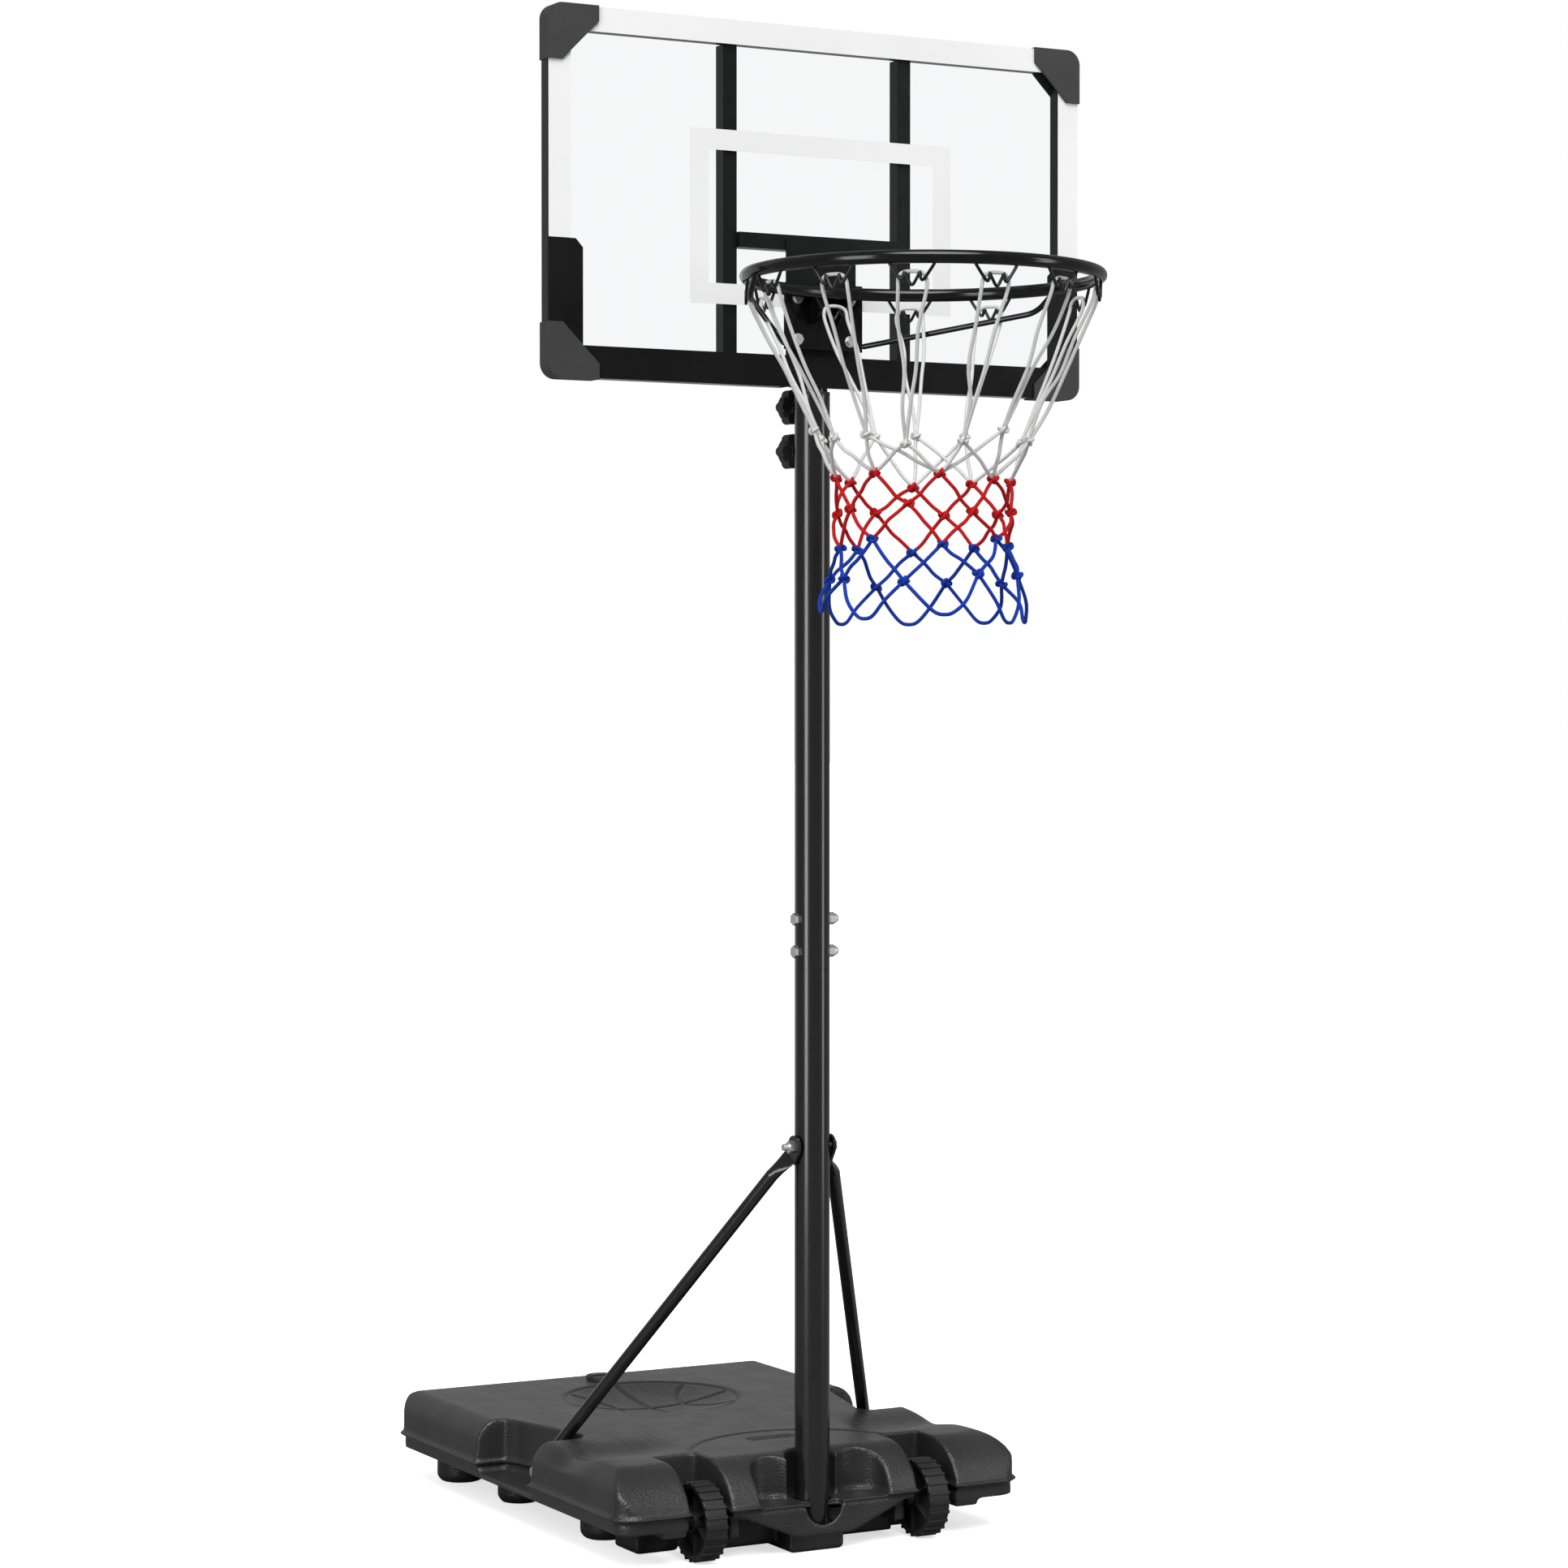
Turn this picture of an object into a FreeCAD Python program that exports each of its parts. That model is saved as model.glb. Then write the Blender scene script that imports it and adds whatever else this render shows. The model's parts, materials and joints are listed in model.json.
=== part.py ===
import FreeCAD, Part
import math
import os
import re

import PartDesign
import Sketcher
from FreeCAD import Placement, Rotation, Vector

# A portable basketball hoop. The origin is on the floor under the pole's axis, +Z is up,
# the court is on the -Y side, the ballast tank reaches back along +Y, and +X is on the
# right of a player who faces the board. Every length is in millimetres.

DIMENSIONS = {
    # backboard and the frame behind it
    "board_width": 710,
    "board_height": 422,
    "board_bottom": 1375,
    "panel_front": 25,
    "panel_thick": 3,
    "rail_width": 27,
    "rail_depth": 16,
    "bar_size": 18,
    "bar_centre": 117,
    "bar_front": 13.5,
    "crossbar_bottom": 1535.5,
    "crossbar_front": 19.5,
    "sill_start": 47,
    "frame_wall": 1.5,
    "guard_size": 64,
    "guard_leg": 18,
    "guard_depth": 24,
    "guard_proud": 3,
    "guard_wall": 1.5,
    "board_round": 16.5,
    "print_thick": 0.4,
    "border_white": 28,
    "border_black": 43,
    "border_sill": 37,
    "border_rise": 158,
    "target_width": 350,
    "target_height": 202,
    "target_bottom": 92.5,
    "target_band": 24,
    # ring, its bracket and the net
    "ring_radius": 199,
    "ring_tube": 7.4,
    "ring_reach": 257,
    "ring_level": 1483.5,
    "plate_width": 104,
    "plate_bottom": 1419,
    "plate_top": 1497,
    "plate_thick": 3,
    "rim_bolt_x": 35,
    "rim_bolt_low": 1431,
    "rim_bolt_high": 1479,
    "brace_wire": 3.3,
    "brace_bend": 40,
    "hook_wire": 1.8,
    "hook_half": 22,
    "hook_drop": 31,
    "net_thick": 1.5,
    # pole
    "pole_radius": 20.9,
    "pole_wall": 1.6,
    "pole_foot": 31,
    "pole_seam": 691,
    "pole_top": 1368,
    "neck_height": 98,
    "neck_radius": 19.1,
    "slider_radius": 18,
    "slider_foot": 800,
    "slider_top": 1530,
    "joint_bolt_low": 711,
    "joint_bolt_high": 749.5,
    "knob_low": 1304.5,
    "knob_high": 1357,
    "knob_radius": 22.5,
    "knob_thick": 22,
    "knob_start": 32.5,
    # fasteners: an M8 size and an M6 size
    "large_bolt": 4,
    "small_bolt": 3,
    "screw_radius": 1.6,
    "drilled_gap": 0.25,
    # base
    "tank_half": 270,
    "tank_front": 34,
    "tank_back": 621,
    "seam_level": 64,
    "deck_level": 116,
    "keel_level": 45,
    "recess_level": 62,
    "tank_wall": 4,
    "well_inner": 125,
    "well_outer": 180,
    "well_depth": 62,
    "wheel_centre": 150,
    "wheel_width": 27,
    "wheel_radius": 46.8,
    "axle_radius": 5,
    "axle_level": 47.9,
    "strut_radius": 8,
    "strut_top": 480,
    "strut_top_x": 24,
    "strut_foot_x": 232,
    "strut_foot_y": 275,
    "strut_foot_z": 66,
    "dish_radius": 115,
    "dish_centre": 425,
    "cap_centre": 572,
    "cap_radius": 21,
}

doc = FreeCAD.newDocument("basketball_hoop")
sheet = doc.addObject("Spreadsheet::Sheet", "dims")
for row, (alias, value) in enumerate(DIMENSIONS.items(), start=1):
    sheet.set(f"A{row}", alias)
    sheet.set(f"B{row}", str(value))
    sheet.setAlias(f"B{row}", alias)
doc.recompute()

ALONG_X = Rotation(Vector(0, 1, 0), 90)
ALONG_MINUS_X = Rotation(Vector(0, 1, 0), -90)
ALONG_Y = Rotation(Vector(1, 0, 0), -90)
ALONG_MINUS_Y = Rotation(Vector(1, 0, 0), 90)
UPRIGHT = Rotation()
SIDES = {"left": -1, "right": 1}
# The hooks' bearings round the ring, in degrees from its front: they are a little uneven.
HOOK_BEARINGS = (20, 50, 85, 126, 154, 181, 216, 243, 271, 300, 326, 353)
# A brace's bend: distance from the ring's axis, degrees behind its side, drop below it.
BRACE_BEND = (198, 18, 26)
# The net from its loops to its hem: radius, drop below the ring.
NET_STATIONS = (
    (188, 29), (176, 60), (140, 145), (118, 190), (100, 232), (95, 270), (95, 305), (104, 342),
    (116, 387),
)
# The tank's round feet, each the same on both sides: distance from the middle, y and radius.
ROUND_FEET = ((196, 585, 31), (186, 425, 28), (186, 180, 30))
nodes = []


def dim(alias):
    """A driving dimension, read from the sheet."""
    return float(sheet.get(alias))


def d(expression):
    """An expression in which every word that names a cell is read from the sheet."""
    return re.sub(r"[a-z][a-z_]+", lambda word: "dims." + word.group(), str(expression))


def bind(feature, **expressions):
    """Drives the named properties of a feature by expressions on the sheet."""
    for name, expression in expressions.items():
        feature.setExpression(name, d(expression))
    return feature


def place(feature, x=0, y=0, z=0, turn=UPRIGHT):
    """Turns a feature and drives its position by expressions on the sheet."""
    feature.Placement = Placement(Vector(), turn)
    for axis, expression in zip("xyz", (x, y, z)):
        feature.setExpression("Placement.Base." + axis, d(expression))
    return feature


def node(label, feature):
    """Marks a feature as one of the separate pieces of the hoop, under its own name."""
    feature.Label = label
    nodes.append(feature)
    return feature


def cylinder(radius, height, **where):
    feature = doc.addObject("Part::Cylinder", "cylinder")
    bind(feature, Radius=radius, Height=height)
    return place(feature, **where)


def box(length, width, height, **where):
    """A box whose placement is its corner with the lowest x, y and z."""
    feature = doc.addObject("Part::Box", "box")
    bind(feature, Length=length, Width=width, Height=height)
    return place(feature, **where)


def hexagon(circumradius, height, **where):
    feature = doc.addObject("Part::Prism", "hexagon")
    feature.Polygon = 6
    bind(feature, Circumradius=circumradius, Height=height)
    return place(feature, **where)


def cut(base, *tools):
    """Takes each tool away from the base in turn."""
    for tool in tools:
        feature = doc.addObject("Part::Cut", "cut")
        feature.Base = base
        feature.Tool = tool
        base = feature
    return base


def fuse(*shapes):
    feature = doc.addObject("Part::MultiFuse", "fuse")
    feature.Shapes = list(shapes)
    return feature


def group(*shapes):
    """Identical separate solids that share one node."""
    feature = doc.addObject("Part::Compound", "group")
    feature.Links = list(shapes)
    return feature


def given(shape):
    """A feature whose shape Part's own functions made."""
    feature = doc.addObject("Part::Feature", "given")
    feature.Shape = shape
    return feature


def tube(outer, inner, height, **where):
    feature = cut(cylinder(outer, height), cylinder(inner, height + " + 2", z="-1"))
    return place(feature, **where)


def bolt(shank, length, head_height, **where):
    """A hexagon bolt: its head is behind the start point and its shank runs along the axis."""
    head = hexagon(f"{shank} * 1.9", head_height, z=f"-({head_height})")
    return place(fuse(head, cylinder(shank, length)), **where)


def nut(shank, height, **where):
    """A plain nut round a shank, with a slight gap where the threads would meet."""
    body = hexagon(f"{shank} * 1.9", height)
    return place(cut(body, cylinder(f"{shank} + 0.05", f"{height} + 2", z="-1")), **where)


def acorn_nut(shank, height, **where):
    """A domed nut that covers the end of a bolt."""
    body = hexagon(f"{shank} * 1.9", height)
    dome = doc.addObject("Part::Sphere", "dome")
    bind(dome, Radius=f"{shank} * 1.55")
    place(dome, z=height)
    hole = cylinder(f"{shank} + 0.05", f"{height} + 3.2", z="-1")
    return place(cut(fuse(body, dome), hole), **where)


# ---------------------------------------------------------------- sketches


def plane_of(body, role):
    return next(f for f in body.Origin.OriginFeatures if f.Role == role)


def new_body(name):
    return doc.addObject("PartDesign::Body", name)


def sketch_on(body, role, name):
    sketch = body.newObject("Sketcher::SketchObject", name)
    sketch.AttachmentSupport = [(plane_of(body, role), "")]
    sketch.MapMode = "FlatFace"
    return sketch


def outline(sketch, corners):
    """A closed outline; each corner is a pair of expressions that hold its place."""
    places = [tuple(value_of(c) for c in corner) for corner in corners]
    count = len(places)
    for i, start in enumerate(places):
        end = places[(i + 1) % count]
        sketch.addGeometry(Part.LineSegment(Vector(*start, 0), Vector(*end, 0)), False)
    for i in range(count):
        sketch.addConstraint(Sketcher.Constraint("Coincident", i, 2, (i + 1) % count, 1))
    for i, corner in enumerate(corners):
        for kind, expression, value in zip(("DistanceX", "DistanceY"), corner, places[i]):
            fix_corner(sketch, kind, i, expression, value)


def fix_corner(sketch, kind, line, expression, value):
    """Holds the start of a line at a distance from the sketch's origin."""
    if abs(value) < 1e-6:
        axis = -2 if kind == "DistanceX" else -1
        sketch.addConstraint(Sketcher.Constraint("PointOnObject", line, 1, axis))
        return
    index = sketch.addConstraint(Sketcher.Constraint(kind, -1, 1, line, 1, value))
    sketch.setExpression(f"Constraints[{index}]", d(expression))


def value_of(expression):
    """The number that an expression on the sheet comes to."""
    cell = f"D{len(DIMENSIONS) + 1}"
    sheet.set(cell, "=" + expression)
    sheet.recompute()
    return float(sheet.get(cell))


def pad(body, sketch, length, midplane=False):
    feature = body.newObject("PartDesign::Pad", "pad")
    feature.Profile = sketch
    feature.Midplane = midplane
    bind(feature, Length=length)
    return feature


def repeat_round(body, feature, role, count):
    """A polar pattern of one feature round an axis of the body."""
    pattern = body.newObject("PartDesign::PolarPattern", "pattern")
    pattern.Originals = [feature]
    axis = next(f for f in body.Origin.OriginFeatures if f.Role == role)
    pattern.Axis = (axis, [""])
    pattern.Angle = 360
    pattern.Occurrences = count
    body.Tip = pattern
    return pattern


# ---------------------------------------------------------------- pole


def drilled(tube_feature, radius, levels):
    """A tube with holes right through it along X."""
    holes = [
        cylinder(f"{radius} + drilled_gap", "80", x="-40", z=level, turn=ALONG_X)
        for level in levels
    ]
    return cut(tube_feature, *holes)


def make_lower_pole():
    """The lower tube stands on the tank and ends in a swaged neck that enters the next tube."""
    tube_part = tube("pole_radius", "pole_radius - pole_wall", "pole_seam - pole_foot", z="pole_foot")
    neck = tube("neck_radius", "neck_radius - pole_wall", "neck_height + 8", z="pole_seam - 8")
    swage = tube("pole_radius - 0.6", "neck_radius - pole_wall", "8", z="pole_seam - 8")
    holes = ["joint_bolt_low", "joint_bolt_high", "strut_top"]
    pole = drilled(fuse(tube_part, neck, swage), "large_bolt", holes)
    axle_hole = cylinder("axle_radius + 0.1", "80", x="-40", z="axle_level", turn=ALONG_X)
    node("lower_pole", cut(pole, axle_hole))
    plug = fuse(
        cylinder("pole_radius", "3", z="pole_foot - 3.05"),
        tube("pole_radius - pole_wall - 0.1", "pole_radius - pole_wall - 3", "9", z="pole_foot - 0.2"),
    )
    node("pole_foot_plug", plug)


def make_middle_pole():
    """The outer tube of the telescope, with its joint bolts, collar and two weld nuts."""
    pole = tube(
        "pole_radius", "pole_radius - pole_wall", "pole_top - pole_seam - 0.2", z="pole_seam + 0.2"
    )
    pole = drilled(pole, "large_bolt", ["joint_bolt_low", "joint_bolt_high"])
    for level in ("knob_low", "knob_high"):
        hole = cylinder("large_bolt + 0.4", "40", z=level, turn=ALONG_Y)
        pole = cut(pole, hole)
    node("middle_pole", pole)
    collar = fuse(
        tube("pole_radius", "slider_radius + 0.3", "4", z="pole_top"),
        tube("pole_radius - pole_wall - 0.05", "slider_radius + 0.3", "6", z="pole_top - 5.9"),
    )
    node("pole_collar", collar)
    bolts = []
    nuts = []
    for level in ("joint_bolt_low", "joint_bolt_high"):
        bolts.append(
            bolt("large_bolt", "pole_radius * 2 + 10", "5", x="-pole_radius", z=level, turn=ALONG_X)
        )
        nuts.append(acorn_nut("large_bolt", "8", x="pole_radius", z=level, turn=ALONG_X))
    node("pole_joint_bolts", group(*bolts))
    node("pole_joint_nuts", group(*nuts))
    rings = []
    for level in ("knob_low", "knob_high"):
        ring = tube("large_bolt + 5", "large_bolt + 0.35", "15", y="16", z=level, turn=ALONG_Y)
        rings.append(cut(ring, cylinder("pole_radius", "30", z=f"{level} - 15")))
    node("knob_weld_nuts", group(*rings))


def make_slider():
    """The inner tube that carries the board, with a glide ring at its foot and a cap on top."""
    pole = tube(
        "slider_radius", "slider_radius - pole_wall", "slider_top - slider_foot", z="slider_foot"
    )
    node("top_pole", drilled(pole, "large_bolt", ["board_bottom + 26", "board_bottom + 126"]))
    glide = tube("pole_radius - pole_wall - 0.3", "slider_radius + 0.02", "34", z="slider_foot + 1")
    node("glide_ring", glide)
    cap = fuse(
        cylinder("slider_radius", "2.5", z="slider_top"),
        cylinder("slider_radius - pole_wall - 0.1", "12", z="slider_top - 11.9"),
    )
    node("top_pole_cap", cap)


def make_knob(name, level):
    """A lobed hand knob on a threaded stud that presses on the inner tube."""
    body = new_body(name)
    disc = sketch_on(body, "XZ_Plane", "hub_profile")
    rim = "knob_radius - 3"
    corners = [
        ("large_bolt + 0.06", "0"),
        ("9", "0"),
        ("12", "4"),
        (rim, "7"),
        (rim, "knob_thick - 4"),
        ("knob_radius - 7", "knob_thick"),
        ("large_bolt + 0.06", "knob_thick"),
    ]
    outline(disc, corners)
    turned = body.newObject("PartDesign::Revolution", "turned")
    turned.Profile = disc
    turned.ReferenceAxis = (disc, ["V_Axis"])
    turned.Angle = 360
    lobe_sketch = sketch_on(body, "XY_Plane", "lobe_profile")
    centre = dim("knob_radius") - 6.5
    lobe_sketch.addGeometry(Part.Circle(Vector(centre, 0, 0), Vector(0, 0, 1), 6.5), False)
    lobe_sketch.addConstraint(Sketcher.Constraint("PointOnObject", 0, 3, -1))
    reach = lobe_sketch.addConstraint(Sketcher.Constraint("DistanceX", -1, 1, 0, 3, centre))
    lobe_sketch.setExpression(f"Constraints[{reach}]", d("knob_radius - 6.5"))
    lobe_sketch.addConstraint(Sketcher.Constraint("Radius", 0, 6.5))
    lobe = pad(body, lobe_sketch, "knob_thick - 5")
    doc.recompute()
    repeat_round(body, lobe, "Z_Axis", 6)
    place(body, y="knob_start", z=level, turn=ALONG_Y)
    node(name, body)


def make_knobs():
    for name, level in (("upper", "knob_high"), ("lower", "knob_low")):
        make_knob(name + "_knob", level)
        stud = cylinder(
            "large_bolt", "knob_start + 14 - slider_radius", y="slider_radius + 0.35", z=level,
            turn=ALONG_Y,
        )
        node(name + "_knob_stud", stud)


# ---------------------------------------------------------------- backboard


def rim_bolt_places():
    return [
        (f"{sign} * rim_bolt_x", level)
        for sign in SIDES.values()
        for level in ("rim_bolt_low", "rim_bolt_high")
    ]


def rim_bolt_holes():
    """The four holes that the ring's bolts need in the bracket, the panel and the mast plate."""
    return group(*[
        cylinder("small_bolt + 0.2", "30", x=x, y="-panel_front - 15", z=z, turn=ALONG_Y)
        for x, z in rim_bolt_places()
    ])


def screw_places():
    """Where a small screw goes into the rails from behind, one at each corner."""
    low = "board_bottom + rail_width / 2"
    high = "board_bottom + board_height - rail_width / 2"
    return [
        (f"{sign} * (board_width / 2 - rail_width / 2)", level)
        for sign in SIDES.values()
        for level in (low, high)
    ]


def screw_holes():
    return group(*[
        cylinder("screw_radius + 0.1", "8", x=x, y="-10", z=z, turn=ALONG_Y)
        for x, z in screw_places()
    ])


def at_corner(piece, sign_x, top, proud, front):
    """Turns a piece made for the lower left corner of the board to one of its four corners."""
    turn = UPRIGHT
    if sign_x > 0 and top:
        turn = Rotation(Vector(0, 1, 0), 180)
    elif top:
        turn = Rotation(Vector(0, 1, 0), 90)
    elif sign_x > 0:
        turn = Rotation(Vector(0, 1, 0), -90)
    level = f"board_bottom + board_height + {proud}" if top else f"board_bottom - {proud}"
    return place(piece, x=f"{sign_x} * (board_width / 2 + {proud})", y=front, z=level, turn=turn)


def corner_offcut():
    """What a round corner leaves off a square one, at the lower left corner of the board."""
    block = box("board_round", "80", "board_round", y="-40")
    round_part = cylinder("board_round", "84", x="board_round", y="-42", z="board_round", turn=ALONG_Y)
    return cut(block, round_part)


def board_offcuts():
    """The offcuts of all four corners, through the panel and the rails behind it."""
    return group(*[
        at_corner(corner_offcut(), sign, top, "0", "0")
        for sign in SIDES.values()
        for top in (True, False)
    ])


def make_panel():
    panel = box(
        "board_width", "panel_thick", "board_height",
        x="-board_width / 2", y="-panel_front", z="board_bottom",
    )
    node("board_panel", cut(panel, rim_bolt_holes(), board_offcuts()))


def board_sheet(label, outer, inner):
    """A thin print on the front of the panel: an outline, less an inner outline."""
    body = new_body("print_sheet")
    sketch = sketch_on(body, "XZ_Plane", "print_outline")
    outline(sketch, outer)
    pad(body, sketch, "print_thick")
    window = new_body("print_window")
    window_sketch = sketch_on(window, "XZ_Plane", "window_outline")
    outline(window_sketch, inner)
    pad(window, window_sketch, "print_thick + 4", midplane=True)
    for piece in (body, window):
        place(piece, y="-panel_front", z="board_bottom")
    node(label, cut(body, window, bracket_seat(), board_offcuts()))


def bracket_seat():
    """The patch of the panel's face that the ring's bracket covers."""
    return box("plate_width + 0.4", "4", "plate_top - plate_bottom + 0.4",
               x="-plate_width / 2 - 0.2", y="-panel_front - 2", z="plate_bottom - 0.2")


def rectangle(x_low, x_high, z_low, z_high):
    return [(x_low, z_low), (x_high, z_low), (x_high, z_high), (x_low, z_high)]


def make_prints():
    """The white border above, the black border below and the white target."""
    half = "board_width / 2"
    rise = "border_rise"
    board_sheet(
        "border_print_white",
        rectangle(f"-{half}", half, f"{rise} + 0.2", "board_height"),
        rectangle(f"-({half} - border_white)", f"{half} - border_white", "0",
                  "board_height - border_white"),
    )
    low_window = [
        (f"-({half} - border_black)", "border_sill"),
        (f"{half} - border_black", "border_sill"),
        (f"{half} - border_black", f"{rise} - 10"),
        (f"{half} - border_black + 10", rise + " + 1"),
        (f"-({half} - border_black + 10)", rise + " + 1"),
        (f"-({half} - border_black)", f"{rise} - 10"),
    ]
    board_sheet("border_print_black", rectangle(f"-{half}", half, "0", rise), low_window)
    wide = "target_width / 2"
    board_sheet(
        "target_print",
        rectangle(f"-{wide}", wide, "target_bottom", "target_bottom + target_height"),
        rectangle(f"-({wide} - target_band)", f"{wide} - target_band",
                  "target_bottom + target_band", "target_bottom + target_height - target_band"),
    )


def make_frame():
    """Rails round the back of the panel, two upright bars and a crossbar."""
    back = "-(panel_front - panel_thick)"
    low_rail = "rail_width - 1"
    top_rail = long_tube("board_width", "rail_width", "rail_depth",
                         x="-board_width / 2", y=back, z="board_bottom + board_height - rail_width")
    node("frame_top_rail", cut(top_rail, screw_holes(), board_offcuts()))
    for side, sign in SIDES.items():
        outer = "-board_width / 2" if sign < 0 else "board_width / 2 - rail_width"
        rail = upright_tube("rail_width", "rail_depth", "board_height - rail_width",
                            x=outer, y=back, z="board_bottom")
        node("frame_side_rail_" + side, cut(rail, screw_holes(), board_offcuts()))
        inner = "-(board_width / 2 - rail_width)" if sign < 0 else "sill_start"
        sill = long_tube("board_width / 2 - rail_width - sill_start", low_rail, "rail_depth",
                         x=inner, y=back, z="board_bottom")
        node("frame_bottom_rail_" + side, sill)
        bar = upright_tube("bar_size", "bar_size", "board_height - rail_width * 2 + 1",
                           x=f"{sign} * bar_centre - bar_size / 2", y="-bar_front",
                           z=f"board_bottom + {low_rail}")
        node("frame_bar_" + side, bar)
    crossbar = long_tube("bar_centre * 2 - bar_size", "bar_size", "bar_size",
                         x="-(bar_centre - bar_size / 2)", y="-crossbar_front", z="crossbar_bottom")
    node("frame_crossbar", crossbar)


def upright_tube(width, depth, length, **where):
    """A rectangular steel tube that stands upright; its placement is its lowest corner."""
    wall = "frame_wall"
    inner = box(f"{width} - {wall} * 2", f"{depth} - {wall} * 2", f"{length} + 2", x=wall, y=wall, z="-1")
    return place(cut(box(width, depth, length), inner), **where)


def long_tube(length, height, depth, **where):
    """A rectangular steel tube that lies along X; its placement is its lowest corner."""
    wall = "frame_wall"
    inner = box(f"{length} + 2", f"{depth} - {wall} * 2", f"{height} - {wall} * 2", x="-1", y=wall, z=wall)
    return place(cut(box(length, depth, height), inner), **where)


def make_corner_guard(label, sign_x, top):
    """A plastic cup over one corner of the board, cut off at a slant between its two legs."""
    body = new_body("guard_block")
    sketch = sketch_on(body, "XZ_Plane", "guard_outline")
    s = "guard_size"
    outline(sketch, [("0", "0"), (s, "0"), (s, "guard_leg"), ("guard_leg", s), ("0", s)])
    padded = pad(body, sketch, "guard_depth")
    doc.recompute()
    rounding = body.newObject("PartDesign::Fillet", "outer_corner")
    rounding.Base = (padded, [corner_edge(padded.Shape)])
    rounding.setExpression("Radius", d("board_round + guard_wall"))
    slot = box("guard_size * 2", "panel_thick + rail_depth + 0.4 + print_thick", "guard_size * 2",
               x="guard_wall", y="-(guard_depth - guard_proud + print_thick)", z="guard_wall")
    cup = cut(body, cut(slot, place(corner_offcut(), x="guard_wall", z="guard_wall")))
    at_corner(cup, sign_x, top, "guard_wall", "guard_depth - panel_front - guard_proud")
    node(label, cut(cup, screw_holes()))


def corner_edge(shape):
    """The name of the edge that runs along Y at the outer corner of a guard."""
    for number, edge in enumerate(shape.Edges, start=1):
        box_of_edge = edge.BoundBox
        if box_of_edge.XMax < 0.1 and box_of_edge.ZMax < 0.1 and box_of_edge.YLength > 5:
            return f"Edge{number}"
    raise ValueError("the guard has no outer corner edge")


def make_guards():
    for side, sign in SIDES.items():
        make_corner_guard("corner_guard_top_" + side, sign, True)
        make_corner_guard("corner_guard_bottom_" + side, sign, False)


def make_mast_bracket():
    """A plate behind the panel with two ears that hold the inner tube."""
    plate_back = "-(panel_front - panel_thick)"
    plate = box("93", "2.5", "170", x="-46.5", y=plate_back, z="board_bottom + 3")
    ears = [
        box("2.5", "36", "152", x=x, y=f"{plate_back} + 2", z="board_bottom + 3")
        for x in ("-(slider_radius + 3.5)", "slider_radius + 1")
    ]
    bracket = fuse(plate, *ears)
    levels = ("board_bottom + 26", "board_bottom + 126")
    bracket = drilled(bracket, "large_bolt", levels)
    node("mast_bracket", cut(bracket, rim_bolt_holes()))
    bolts = []
    nuts = []
    for level in levels:
        bolts.append(bolt("large_bolt", "slider_radius * 2 + 20", "5",
                          x="-(slider_radius + 3.5)", z=level, turn=ALONG_X))
        nuts.append(nut("large_bolt", "6.5", x="slider_radius + 3.5", z=level, turn=ALONG_X))
    node("mast_clamp_bolts", group(*bolts))
    node("mast_clamp_nuts", group(*nuts))


def make_guard_screws():
    """Pan-headed screws that hold the corner guards to the rails from behind."""
    screws = []
    back = "guard_depth - panel_front - guard_proud"
    for x, z in screw_places():
        head = cylinder("screw_radius * 2.1", "1.6", z="-1.6")
        screw = fuse(head, cylinder("screw_radius", "7"))
        screws.append(place(screw, x=x, y=back, z=z, turn=ALONG_MINUS_Y))
    node("guard_screws", group(*screws))


# ---------------------------------------------------------------- ring and net


def torus(radius_small, **where):
    feature = doc.addObject("Part::Torus", "torus")
    bind(feature, Radius1="ring_radius", Radius2=radius_small)
    return place(feature, **where)


def ring_tool():
    """The space that the ring's tube takes up, a hair larger than the tube."""
    return torus("ring_tube + 0.02", y="-ring_reach", z="ring_level")


def make_ring():
    node("rim_ring", torus("ring_tube", y="-ring_reach", z="ring_level"))


def make_rim_bracket():
    """A bolted plate with a shelf and two gussets that carry the ring."""
    front = "-(panel_front + plate_thick)"
    plate = box("plate_width", "plate_thick", "plate_top - plate_bottom",
                x="-plate_width / 2", y=front, z="plate_bottom")
    shelf = box("plate_width - 14", "31", "plate_thick",
                x="-(plate_width / 2 - 7)", y=f"{front} - 30", z="ring_level + 3")
    lip = box("plate_width - 14", "8", "plate_thick",
              x="-(plate_width / 2 - 7)", y=f"{front} - 7", z="plate_bottom")
    gussets = [
        box("3", "30", "40", x=f"{sign} * 16 - 1.5", y=f"{front} - 29", z="ring_level - 34")
        for sign in SIDES.values()
    ]
    slant = box("80", "60", "60", x="-40", y="-(panel_front + 72)", z="ring_level - 62",
                turn=Rotation(Vector(1, 0, 0), -35))
    webs = cut(fuse(*gussets), slant)
    node("rim_bracket", cut(fuse(plate, shelf, lip, webs), ring_tool(), rim_bolt_holes()))


def make_rim_fasteners():
    bolts = []
    washers = []
    nuts = []
    face = "-(panel_front + plate_thick)"
    for x, z in rim_bolt_places():
        where = {"x": x, "z": z, "turn": ALONG_Y}
        bolts.append(bolt("small_bolt", "18", "4", y=f"{face} - 1.25", **where))
        washers.append(tube("6.8", "small_bolt + 0.15", "1.2", y=f"{face} - 1.22", **where))
        nuts.append(nut("small_bolt", "5", y="-19.4", **where))
    node("rim_bolts", group(*bolts))
    node("rim_washers", group(*washers))
    node("rim_nuts", group(*nuts))


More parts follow.
